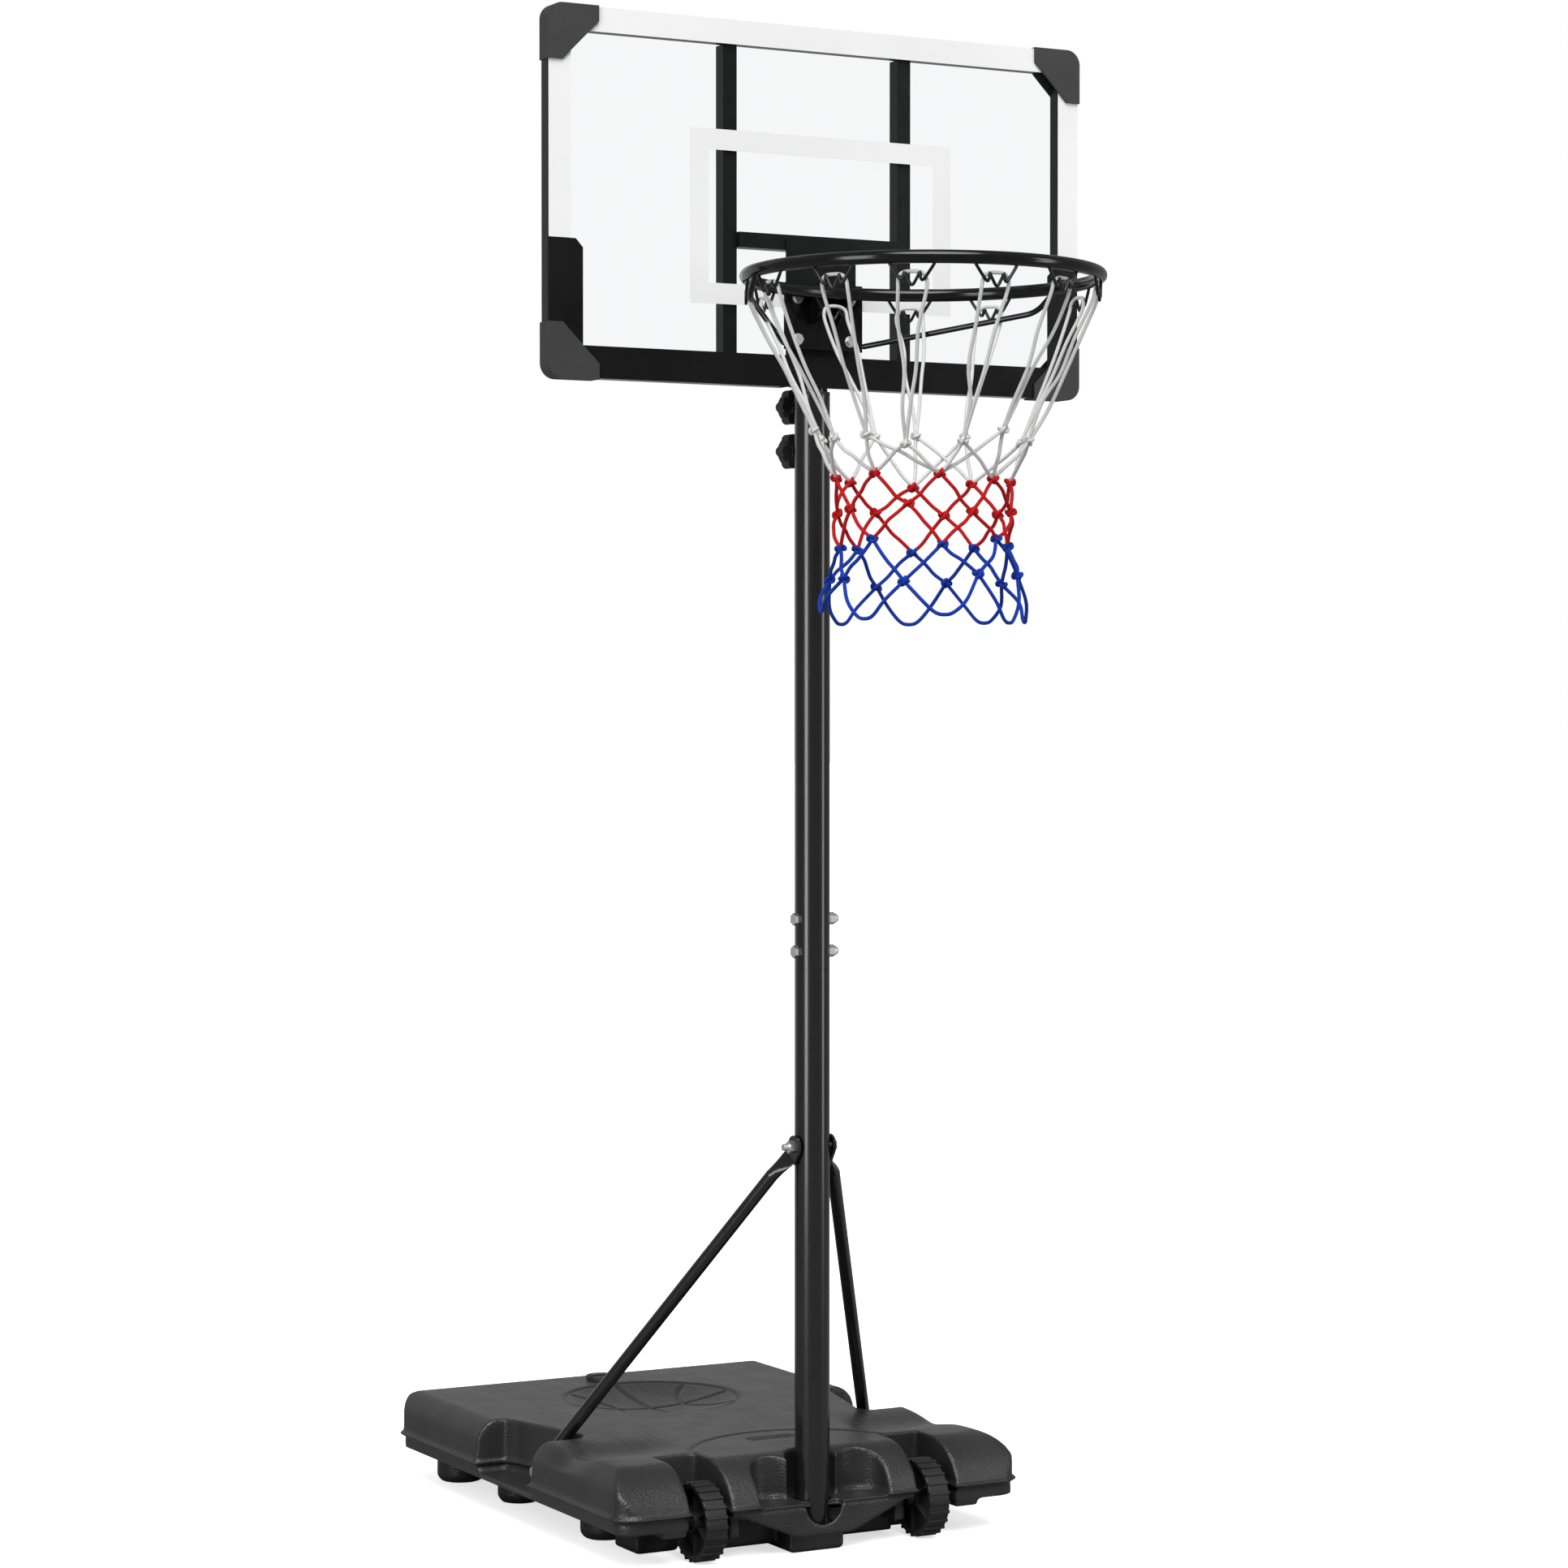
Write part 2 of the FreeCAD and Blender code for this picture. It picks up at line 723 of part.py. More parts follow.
def rod(points, bend_radius, radius):
    """A round rod along straight runs joined by arcs of one radius."""
    edges = []
    start = points[0]
    for before, corner, after in zip(points, points[1:], points[2:]):
        into = (corner - before).normalize()
        out = (after - corner).normalize()
        half_turn = into.getAngle(out) / 2
        back_off = bend_radius * math.tan(half_turn)
        arc_start = corner - into * back_off
        arc_end = corner + out * back_off
        middle_direction = (out - into).normalize()
        rise = bend_radius / math.cos(half_turn) - bend_radius
        edges.append(Part.LineSegment(start, arc_start).toShape())
        edges.append(Part.Arc(arc_start, corner + middle_direction * rise, arc_end).toShape())
        start = arc_end
    edges.append(Part.LineSegment(start, points[-1]).toShape())
    wire = Part.Wire(edges)
    first = (points[1] - points[0]).normalize()
    profile = Part.Wire(Part.Circle(points[0], first, radius).toShape())
    return wire.makePipeShell([profile], True, False)


def brace_points(sign):
    """The brace's corners: the ring's side, the bend under it, and the plate's foot."""
    centre = Vector(0, -dim("ring_reach"), dim("ring_level"))
    corners = []
    for reach, bearing, drop in ((dim("ring_radius"), 8, 0), BRACE_BEND):
        angle = math.radians(bearing)
        corners.append(centre + Vector(sign * reach * math.cos(angle), reach * math.sin(angle), -drop))
    foot_x = sign * (dim("plate_width") / 2 - 3)
    corners.append(Vector(foot_x, 4 - dim("panel_front"), dim("plate_bottom") + 6))
    return corners


def make_braces():
    """A bent rod on each side, from the foot of the bracket to the side of the ring."""
    for side, sign in SIDES.items():
        brace = given(rod(brace_points(sign), dim("brace_bend"), dim("brace_wire")))
        node("rim_brace_" + side, cut(brace, ring_tool(), plate_tool()))


def plate_tool():
    """The space behind the front face of the rim bracket's plate and under its lip."""
    return box("400", "40", "400", x="-200", y="-(panel_front + plate_thick + 0.02)",
               z="plate_bottom - 200")


def make_hooks():
    """Twelve V-shaped wires under the ring, one for each loop of the net."""
    hooks = []
    level = dim("ring_level")
    reach = dim("hook_half")
    for bearing in HOOK_BEARINGS:
        turn = Rotation(Vector(0, 0, 1), bearing)
        points = [Vector(-reach, 0, 0), Vector(0, 0, -dim("hook_drop")), Vector(reach, 0, 0)]
        wire = rod(points, 4, dim("hook_wire"))
        sag = dim("ring_radius") - math.sqrt(dim("ring_radius") ** 2 - reach**2)
        wire.translate(Vector(0, -dim("ring_radius") + sag, 0))
        wire.Placement = Placement(Vector(0, -dim("ring_reach"), level), turn).multiply(wire.Placement)
        hooks.append(wire)
    node("net_hooks", cut(given(Part.makeCompound(hooks)), ring_tool()))


def net_profile():
    """Radius and level of the net from its loops down to its hem."""
    return [(radius, dim("ring_level") - drop) for radius, drop in NET_STATIONS]


def make_net():
    """The net as one thin sleeve, open at the ring and at the hem."""
    thick = dim("net_thick")
    outer = [Vector(r, 0, z) for r, z in net_profile()]
    inner = [Vector(r - thick, 0, z) for r, z in net_profile()]
    side_out = Part.BSplineCurve()
    side_out.interpolate(outer)
    side_in = Part.BSplineCurve()
    side_in.interpolate(inner)
    edges = [
        side_out.toShape(),
        Part.LineSegment(outer[-1], inner[-1]).toShape(),
        side_in.toShape(),
        Part.LineSegment(inner[0], outer[0]).toShape(),
    ]
    face = Part.Face(Part.Wire(Part.__sortEdges__(edges)))
    sleeve = given(face.revolve(Vector(), Vector(0, 0, 1), 360))
    bend = dim("brace_bend")
    gap = dim("brace_wire") + 1.5
    passages = [given(rod(brace_points(sign), bend, gap)) for sign in SIDES.values()]
    node("net", cut(place(sleeve, y="-ring_reach"), *passages))


# ---------------------------------------------------------------- base


def edge_points_to_face(points):
    return Part.Face(Part.makePolygon(points + points[:1]))


def front_profile(inset):
    """The tank seen from the front: upright walls with wide round shoulders."""
    half = dim("tank_half") - inset
    deck = dim("deck_level") - inset
    low = dim("seam_level") - 6
    shoulder = deck - 27
    bend = Vector(half - 11, 0, deck - 8)
    edges = [
        Part.LineSegment(Vector(-half, 0, low), Vector(half, 0, low)).toShape(),
        Part.LineSegment(Vector(half, 0, low), Vector(half - 2, 0, shoulder)).toShape(),
        Part.Arc(Vector(half - 2, 0, shoulder), bend, Vector(half - 42, 0, deck)).toShape(),
        Part.LineSegment(Vector(half - 42, 0, deck), Vector(42 - half, 0, deck)).toShape(),
        Part.Arc(Vector(42 - half, 0, deck), Vector(-bend.x, 0, bend.z),
                 Vector(2 - half, 0, shoulder)).toShape(),
        Part.LineSegment(Vector(2 - half, 0, shoulder), Vector(-half, 0, low)).toShape(),
    ]
    face = Part.Face(Part.Wire(edges))
    face.translate(Vector(0, -100, 0))
    return face.extrude(Vector(0, 900, 0))


def side_profile(inset):
    """The tank seen from the side: a round nose, a flat deck and a short drop at the back."""
    front = -dim("tank_front") + inset
    back = dim("tank_back") - inset
    deck = dim("deck_level") - inset
    low = dim("seam_level") - 6
    nose_low = Vector(0, front, low + 12)
    nose_mid = Vector(0, front + 23, deck - 15)
    nose_top = Vector(0, front + 78, deck)
    tail_top = Vector(0, back - 14, deck)
    tail_low = Vector(0, back, deck - 14)
    tail_mid = Vector(0, back - 4.1, deck - 4.1)
    edges = [
        Part.LineSegment(Vector(0, front, low), nose_low).toShape(),
        Part.Arc(nose_low, nose_mid, nose_top).toShape(),
        Part.LineSegment(nose_top, tail_top).toShape(),
        Part.Arc(tail_top, tail_mid, tail_low).toShape(),
        Part.LineSegment(tail_low, Vector(0, back, low)).toShape(),
        Part.LineSegment(Vector(0, back, low), Vector(0, front, low)).toShape(),
    ]
    face = Part.Face(Part.Wire(edges))
    face.translate(Vector(-400, 0, 0))
    return face.extrude(Vector(800, 0, 0))


def plan_block(inset, low, high, corner):
    """The tank's plan, with round corners, between two levels."""
    half = dim("tank_half") - inset
    length = dim("tank_back") + dim("tank_front") - inset * 2
    block = Part.makeBox(half * 2, length, high - low, Vector(-half, -dim("tank_front") + inset, low))
    uprights = [e for e in block.Edges if e.BoundBox.ZLength > (high - low) / 2]
    return block.makeFillet(corner - inset, uprights)


def upright_cylinder(x, y, radius, low, high):
    return Part.makeCylinder(radius, high - low, Vector(x, y, low))


def notch_prism(sign, grow, low):
    """The side notch in which a strut's foot is bolted."""
    corners = [
        (290, 372 + grow), (232 - grow, 370 + grow), (222 - grow, 350 + grow),
        (192 - grow, 226 - grow), (204 - grow, 212 - grow), (290, 216 - grow),
    ]
    points = [Vector(sign * x, y, low) for x, y in corners]
    return edge_points_to_face(points).extrude(Vector(0, 0, 200))


def recess_tool(grow):
    """The pole's recess in the tank's nose: a socket between two round lobes."""
    low = dim("recess_level") - grow
    high = dim("deck_level") + 40
    front = Part.makeBox(
        (87 + grow) * 2, 85 + grow, high - low, Vector(-87 - grow, -100, low)
    )
    tool = front.fuse(upright_cylinder(0, 0, 33 + grow, low, high))
    for sign in SIDES.values():
        tool = tool.fuse(upright_cylinder(sign * 58, -15, 29 + grow, low, high))
    return tool


def well_tool(sign, grow):
    """The slot in the nose in which a wheel turns."""
    inner = dim("well_inner") - grow
    outer = dim("well_outer") + grow
    x = inner if sign > 0 else -outer
    return Part.makeBox(outer - inner, dim("well_depth") + 100 + grow, 400, Vector(x, -100, -100))


def dish_tool():
    """A shallow ball-shaped hollow in the deck."""
    radius = dim("dish_radius")
    depth = 9
    ball = (radius**2 + depth**2) / (2 * depth)
    return Part.makeSphere(ball, Vector(0, dim("dish_centre"), dim("deck_level") + ball - depth))


def upper_half(inset):
    """The upper moulding, less its recesses, grown by the same inset."""
    low = dim("seam_level") - 6
    block = plan_block(inset, low, dim("deck_level") + 10, 26)
    block = block.common(front_profile(inset)).common(side_profile(inset))
    for sign in SIDES.values():
        block = block.cut(well_tool(sign, inset))
        block = block.cut(notch_prism(sign, inset, 52 - inset))
    return block.cut(recess_tool(inset))


def foot(x, y, radius, top):
    """A round foot with a tapered rim."""
    rim = Part.makeCone(radius - 5, radius, 7, Vector(x, y, 0))
    return rim.fuse(upright_cylinder(x, y, radius, 6.9, top))


def lower_half():
    """The lower moulding: a shallow tray with feet, wheel bearings and the pole's seat."""
    keel = dim("keel_level")
    seam = dim("seam_level")
    tray = plan_block(2.5, keel, seam, 24)
    flange = plan_block(-2, seam - 1.5, seam + 2, 28)
    base = tray.fuse(flange)
    for sign in SIDES.values():
        tab_x = 181 if sign > 0 else -213
        base = base.fuse(Part.makeBox(32, 26, 14, Vector(tab_x, -30, keel - 8)))
        base = base.cut(well_tool(sign, 0))
        base = base.cut(notch_prism(sign, 0, 52))
    nose = Part.makeBox(250, 70, 12, Vector(-125, -60, keel - 2))
    base = base.cut(nose)
    base = base.fuse(Part.makeBox(244, 58, seam - 7, Vector(-122, 20, 7)))
    base = base.fuse(Part.makeBox(244, 96, 8, Vector(-122, -32, seam - 10)))
    for sign in SIDES.values():
        rib_x = sign * 112 - 7
        base = base.fuse(Part.makeBox(14, 60, 34, Vector(rib_x, -16, 26)))
    return base


def make_feet(base):
    for sign in SIDES.values():
        for x, y, radius in ROUND_FEET:
            base = base.fuse(foot(sign * x, y, radius, 50))
        pad_x = 144 if sign > 0 else -200
        base = base.fuse(rounded_pad(pad_x, 66, 56, 60, 50))
    return base.fuse(rounded_pad(-36, -14, 72, 92, 28))


def rounded_pad(x, y, width, depth, height):
    """A square foot with soft lower edges."""
    block = Part.makeBox(width, depth, height, Vector(x, y, 0))
    soft = [e for e in block.Edges if e.BoundBox.ZMax < height - 1]
    return block.makeFillet(4, soft)


def front_lip():
    """The thin web of the nose, with a U-shaped notch that shows the foot of the pole."""
    top = dim("seam_level") - 2
    points = [
        Vector(-100, -32, top), Vector(-108, -32, 52), Vector(-37, -32, 22),
        Vector(37, -32, 22), Vector(108, -32, 52), Vector(100, -32, top),
    ]
    web = edge_points_to_face(points).extrude(Vector(0, 4, 0))
    notch = Part.makeCylinder(24, 200, Vector(0, -60, 59), Vector(0, 1, 0))
    mouth = edge_points_to_face([
        Vector(-24, -60, 57), Vector(24, -60, 57), Vector(38, -60, 80), Vector(-38, -60, 80),
    ]).extrude(Vector(0, 30, 0))
    return web, notch.common(Part.makeBox(60, 40, 60, Vector(-30, -60, 20))).fuse(mouth)


def make_tank():
    """The blow-moulded ballast tank: one hollow shell from its feet to its deck."""
    web, notch = front_lip()
    shell = make_feet(upper_half(0).fuse(lower_half()))
    shell = shell.fuse(web).cut(notch)
    for sign in SIDES.values():
        boss = Part.makeBox(32, 28, 24, Vector(198 if sign > 0 else -230, 262, 50))
        shell = shell.fuse(boss)
    shell = shell.cut(ballast_space(0))
    shell = shell.cut(dish_tool())
    shell = shell.cut(recess_tool(0))
    for sign in SIDES.values():
        shell = shell.cut(well_tool(sign, 0))
    seat = upright_cylinder(0, 0, dim("pole_radius") + 0.3, dim("pole_foot") - 3.05, 200)
    shell = shell.cut(seat)
    axle_start = Vector(-200, 0, dim("axle_level"))
    axle_way = Part.makeCylinder(dim("axle_radius") + 0.3, 400, axle_start, Vector(1, 0, 0))
    shell = shell.cut(axle_way)
    shell = shell.cut(upright_cylinder(0, dim("cap_centre"), 17.2, 90, 140))
    for sign in SIDES.values():
        way = Part.makeCylinder(6.05, 24, Vector(sign * 230.1, dim("strut_foot_y"), dim("strut_foot_z")),
                                Vector(-sign, 0, 0))
        shell = shell.cut(way)
    node("base_tank", given(shell.removeSplitter()))


def ballast_space(shrink):
    """The inside of the tank, less what the shell needs round its recesses."""
    wall = dim("tank_wall") + shrink
    room = upper_half(wall).fuse(
        plan_block(wall + 3, dim("keel_level") + wall, dim("seam_level") + 1, 26)
    )
    for sign in SIDES.values():
        room = room.cut(well_tool(sign, wall))
        room = room.cut(notch_prism(sign, wall, 20))
    room = room.cut(Part.makeBox(260, 200, 200, Vector(-130, -170, 0)))
    room = room.cut(upright_cylinder(0, 0, 37 + shrink, 0, 200))
    dish = dish_tool()
    dish.translate(Vector(0, 0, -wall))
    room = room.cut(dish)
    return room.cut(upright_cylinder(0, dim("cap_centre"), 21 + shrink, 96, 200))


def make_ballast():
    """The water that weighs the tank down, a little short of full."""
    water = ballast_space(0.3).common(Part.makeBox(700, 800, 98, Vector(-350, -100, 0)))
    node("ballast_fill", given(water))


def make_filler():
    """A screw cap with a grip rim, and the ring that seals it."""
    deck = "deck_level"
    grip = box("34", "6", "2.5", x="-17", y="cap_centre - 3", z=f"{deck} + 5")
    cap = fuse(
        cylinder("cap_radius", "3.4", y="cap_centre", z=f"{deck} + 2.1"),
        tube("16.8", "13.5", "16", y="cap_centre", z=f"{deck} - 12"),
        grip,
    )
    node("filler_cap", cap)
    seal = tube("cap_radius - 1", "17.3", "1.9", y="cap_centre", z=f"{deck} + 0.1")
    node("cap_seal", seal)


def make_wheel(label, sign):
    """A ribbed wheel with a lugged tread."""
    body = new_body(label)
    profile = sketch_on(body, "XZ_Plane", "wheel_profile")
    width = "wheel_width"
    tread = "wheel_radius - 1.6"
    corners = [
        ("axle_radius + 0.08", "0"), ("12", "0"), ("12", "7"), ("39", "9"), ("39", "1"),
        (f"{tread} - 1", "0"), (tread, "1.5"), (tread, f"{width} - 1.5"),
        (f"{tread} - 1", width), ("39", f"{width} - 1"), ("39", f"{width} - 14"),
        ("12", f"{width} - 12"), ("12", width), ("axle_radius + 0.08", width),
    ]
    outline(profile, corners)
    turned = body.newObject("PartDesign::Revolution", "turned")
    turned.Profile = profile
    turned.ReferenceAxis = (profile, ["V_Axis"])
    turned.Angle = 360
    spoke_sketch = sketch_on(body, "XY_Plane", "spoke_outline")
    outline(spoke_sketch, [("11", "-1"), ("40", "-1"), ("40", "1"), ("11", "1")])
    spoke = pad(body, spoke_sketch, f"{width} - 5")
    doc.recompute()
    repeat_round(body, spoke, "Z_Axis", 6)
    doc.recompute()
    lug_sketch = sketch_on(body, "XY_Plane", "lug_outline")
    outline(lug_sketch, [
        (f"{tread} - 1", "-2"), ("wheel_radius", "-1.6"), ("wheel_radius", "1.6"), (f"{tread} - 1", "2"),
    ])
    lug = pad(body, lug_sketch, width)
    doc.recompute()
    repeat_round(body, lug, "Z_Axis", 24)
    start = "wheel_centre - wheel_width / 2"
    turn = ALONG_X if sign > 0 else ALONG_MINUS_X
    place(body, x=f"{sign} * ({start})", z="axle_level", turn=turn)
    node(label, body)


def make_running_gear():
    axle = cylinder("axle_radius", "wheel_centre * 2 + wheel_width + 14",
                    x="-(wheel_centre + wheel_width / 2 + 7)", z="axle_level", turn=ALONG_X)
    node("axle", axle)
    for side, sign in SIDES.items():
        make_wheel("wheel_" + side, sign)
    spacers = []
    caps = []
    for sign in SIDES.values():
        turn = ALONG_X if sign > 0 else ALONG_MINUS_X
        spacers.append(tube("8", "axle_radius + 0.05", "9", x=f"{sign} * 127", z="axle_level", turn=turn))
        cap = cut(cylinder("9", "8"), cylinder("axle_radius + 0.05", "7.3", z="-1"))
        caps.append(place(cap, x=f"{sign} * (wheel_centre + wheel_width / 2 + 1.2)", z="axle_level",
                          turn=turn))
    node("axle_spacers", group(*spacers))
    node("axle_caps", group(*caps))


def strut_points(sign):
    top = Vector(sign * dim("strut_top_x"), 0, dim("strut_top"))
    foot_point = Vector(sign * dim("strut_foot_x"), dim("strut_foot_y"), dim("strut_foot_z"))
    return top, foot_point


def flat_tab(centre, along, length):
    """A flattened end in a plane across X, round at its far end and drilled for its bolt."""
    half_width = 13.5
    thick = 3.2
    across = Vector(1, 0, 0)
    side = along.cross(across)
    corner = centre - side * half_width - across * (thick / 2)
    strip = Part.Face(Part.makePolygon([
        corner, corner + side * half_width * 2, corner + side * half_width * 2 + along * length,
        corner + along * length, corner,
    ])).extrude(across * thick)
    end = Part.makeCylinder(half_width, thick, centre - across * (thick / 2), across)
    return strip.fuse(end)


def oval(centre, along, wide_radius, thin_radius):
    """A closed oval across a direction, with its thin way as near to X as it can be."""
    wide = along.cross(Vector(1, 0, 0)).normalize()
    edge = Part.Ellipse(Vector(), wide_radius, thin_radius).toShape()
    edge.Placement = Placement(centre, Rotation(wide, wide.cross(along) * -1, along, "XZY"))
    return Part.Wire(edge)


def flattened_end(centre, along, tube_point, direction):
    """The ovals by which a round tube flattens into its tab."""
    radius = dim("strut_radius")
    start = centre + along * 13
    ovals = []
    for step in (0, 0.25, 0.5, 0.75):
        swell = 0.5 - 0.5 * math.cos(math.pi * step)
        middle = start + (tube_point - start) * step
        turned = (along * (1 - step) + direction * step).normalize()
        ovals.append(oval(middle, turned, 13.1 + (radius - 13.1) * swell, 1.3 + (radius - 1.3) * swell))
    return ovals


def make_strut(side, sign):
    """A steel tube whose two flattened ends are bolted to the pole and to the tank."""
    top, foot_point = strut_points(sign)
    direction = (foot_point - top).normalize()
    down = Vector(0, direction.y, direction.z).normalize()
    tube_top = top + direction * 46
    tube_foot = foot_point - direction * 44
    radius = dim("strut_radius")
    ovals = flattened_end(top, down, tube_top, direction)
    ovals += [oval(point, direction, radius, radius - 0.01) for point in (tube_top, tube_foot)]
    ovals += reversed(flattened_end(foot_point, down * -1, tube_foot, direction * -1))
    shape = Part.makeLoft(ovals, True, True)
    shape = shape.fuse(flat_tab(top, down, 17)).fuse(flat_tab(foot_point, down * -1, 15))
    bore_length = (tube_foot - tube_top).Length
    shape = shape.cut(Part.makeCylinder(radius - 1.2, bore_length, tube_top, direction))
    for centre in (top, foot_point):
        hole = dim("large_bolt") + dim("drilled_gap")
        shape = shape.cut(Part.makeCylinder(hole, 20, centre - Vector(10, 0, 0), Vector(1, 0, 0)))
    node("strut_" + side, given(shape))


def make_struts():
    for side, sign in SIDES.items():
        make_strut(side, sign)
    outer = "strut_top_x + 1.6"
    node("strut_pivot_bolt", bolt("large_bolt", f"({outer}) * 2 + 14", "5",
                                  x=outer, z="strut_top", turn=ALONG_MINUS_X))
    node("strut_pivot_nut", nut("large_bolt", "7", x=f"-({outer})", z="strut_top", turn=ALONG_MINUS_X))
    bolts = []
    inserts = []
    for sign in SIDES.values():
        turn = ALONG_MINUS_X if sign > 0 else ALONG_X
        x = f"{sign} * (strut_foot_x + 1.65)"
        bolts.append(bolt("large_bolt", "20", "5", x=x, y="strut_foot_y", z="strut_foot_z", turn=turn))
        inserts.append(tube("6", "large_bolt + 0.05", "20", x=f"{sign} * 229.9",
                            y="strut_foot_y", z="strut_foot_z", turn=turn))
    node("strut_foot_bolts", group(*bolts))
    node("strut_foot_inserts", group(*inserts))


# ---------------------------------------------------------------- the whole hoop


def make_hoop():
    make_tank()
    make_ballast()
    make_filler()
    make_running_gear()
    make_lower_pole()
    make_middle_pole()
    make_slider()
    make_knobs()
    make_struts()
    make_mast_bracket()
    make_panel()
    make_prints()
    make_frame()
    make_guards()
    make_guard_screws()
    make_ring()
    make_rim_bracket()
    make_braces()
    make_rim_fasteners()
    make_hooks()
    make_net()


def check_document():
    """Stops if any object failed, or if any piece has no sound shape."""
    for feature in doc.Objects:
        bad = {"Invalid", "Error"} & set(feature.State)
        if bad:
            raise RuntimeError(f"{feature.Name} ({feature.Label}) is {sorted(bad)}")
    for feature in nodes:
        if feature.Shape.isNull() or not feature.Shape.isValid() or feature.Shape.Volume <= 0:
            raise RuntimeError(f"{feature.Label} has no valid shape")


def export_parts():
    os.makedirs("parts", exist_ok=True)
    for feature in nodes:
        feature.Shape.exportStep(f"parts/{feature.Label}.step")


make_hoop()
doc.recompute()
check_document()
export_parts()
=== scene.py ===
import json
import math
import random

import bmesh
import bpy
import numpy as np
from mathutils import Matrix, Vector


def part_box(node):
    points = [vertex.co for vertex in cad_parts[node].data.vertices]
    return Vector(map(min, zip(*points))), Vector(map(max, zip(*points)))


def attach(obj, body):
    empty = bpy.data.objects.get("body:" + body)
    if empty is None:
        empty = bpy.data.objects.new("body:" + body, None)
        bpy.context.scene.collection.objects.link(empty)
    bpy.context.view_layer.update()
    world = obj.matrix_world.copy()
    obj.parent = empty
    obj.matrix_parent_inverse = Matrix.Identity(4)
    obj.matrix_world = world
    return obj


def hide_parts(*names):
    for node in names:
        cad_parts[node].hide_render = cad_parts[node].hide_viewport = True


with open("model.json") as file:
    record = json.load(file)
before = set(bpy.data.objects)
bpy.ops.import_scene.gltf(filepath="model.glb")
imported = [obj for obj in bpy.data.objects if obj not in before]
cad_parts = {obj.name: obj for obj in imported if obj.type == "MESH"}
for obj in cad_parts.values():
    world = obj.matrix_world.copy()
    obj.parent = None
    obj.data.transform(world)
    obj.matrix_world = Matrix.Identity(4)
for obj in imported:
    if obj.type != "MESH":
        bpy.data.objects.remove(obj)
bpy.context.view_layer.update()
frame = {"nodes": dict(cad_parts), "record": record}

# A portable basketball hoop with a clear board, a corded net and a wheeled ballast tank.
# Lengths are in metres. +Z is up, the court is on the -Y side and the tank is on the +Y side.

CARRIAGE = "board_carriage"
STAND = "stand"

RING_LOW, RING_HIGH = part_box("rim_ring")
RING_CENTRE = (Vector(RING_LOW) + Vector(RING_HIGH)) / 2
RING_TUBE = (RING_HIGH[2] - RING_LOW[2]) / 2
RING_RADIUS = (RING_HIGH[0] - RING_LOW[0]) / 2 - RING_TUBE
CAP_LOW, CAP_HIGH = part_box("filler_cap")
CAP_CENTRE = (Vector(CAP_LOW) + Vector(CAP_HIGH)) / 2

# The view: a long lens, in millimetres on a full-frame sensor, and where the camera stands.
LENS, SENSOR = 89.7, 36
CAMERA_PLACE = (-2.2398, -4.0474, 0.9970)
CAMERA_TILT, CAMERA_HEADING = 88.913, -28.546

# Levels and places on the tank.
DECK_LEVEL = 0.116
SEAM_LEVEL = 0.064
DISH_CENTRE, DISH_EDGE = 0.425, 0.112
SADDLE_PLACE = 0.135
RING_GROOVE = 0.145
SLOT_PLACE, SLOT_HALF = 0.105, 0.024

# The plug that closes the filler's neck, and the grain of the tank's mesh.
PLUG_RADIUS, PLUG_DEPTH, PLUG_DROP = 0.020, 0.014, 0.0085
FINE_GRID, QUICK_GRID = 0.0024, 0.0035

# Bearings round the ring, in degrees from its front towards +X.
HOOK_BEARINGS = (20, 50, 85, 126, 154, 181, 216, 243, 271, 300, 326, 353)
HOOK_WIRE = 0.0018
# The left half of a hook, down to its tip: how far along the ring and how far below it.
HALF_HOOK = (
    (-0.025, 0.006), (-0.020, 0.014), (-0.0125, 0.0245), (-0.0095, 0.0235), (-0.0085, 0.0165),
    (-0.0055, 0.0225), (0.0, 0.0305),
)

# How far the sharp edges of each finish are rounded.
SOFT_EDGES = {
    "guard_plastic": 0.0009,
    "knob_plastic": 0.0008,
    "wheel_plastic": 0.0006,
    "frame_coating": 0.0008,
}
LOWER_KNOTS = 8
FIRST_KNOT_BEARING = 24.4


# ---------------------------------------------------------------- camera and light


def make_camera():
    """The photograph's view: a long lens a little above half the pole's height."""
    lens = bpy.data.cameras.new("view")
    lens.lens = LENS
    lens.sensor_width = SENSOR
    camera = bpy.data.objects.new("view", lens)
    camera.location = CAMERA_PLACE
    camera.rotation_euler = (math.radians(CAMERA_TILT), 0, math.radians(CAMERA_HEADING))
    bpy.context.scene.collection.objects.link(camera)
    bpy.context.scene.camera = camera


def soft_light(name, place, target, size, power):
    """A rectangular softbox, which only its light and its reflections show."""
    lamp = bpy.data.lights.new(name, "AREA")
    lamp.shape = "RECTANGLE"
    lamp.size, lamp.size_y = size
    lamp.energy = power
    obj = bpy.data.objects.new(name, lamp)
    obj.location = place
    obj.rotation_euler = (Vector(target) - Vector(place)).to_track_quat("-Z", "Y").to_euler()
    obj.visible_camera = False
    bpy.context.scene.collection.objects.link(obj)


def make_world():
    """A white backdrop that gives the object only a dim, even light."""
    world = bpy.data.worlds.new("studio")
    world.use_nodes = True
    tree = world.node_tree
    fill = tree.nodes["Background"]
    fill.inputs["Color"].default_value = (1, 1, 1, 1)
    fill.inputs["Strength"].default_value = 0.24
    backdrop = tree.nodes.new("ShaderNodeBackground")
    backdrop.inputs["Color"].default_value = (1, 1, 1, 1)
    rays = tree.nodes.new("ShaderNodeLightPath")
    mix = tree.nodes.new("ShaderNodeMixShader")
    tree.links.new(rays.outputs["Is Camera Ray"], mix.inputs["Fac"])
    tree.links.new(fill.outputs["Background"], mix.inputs[1])
    tree.links.new(backdrop.outputs["Background"], mix.inputs[2])
    tree.links.new(mix.outputs["Shader"], tree.nodes["World Output"].inputs["Surface"])
    bpy.context.scene.world = world


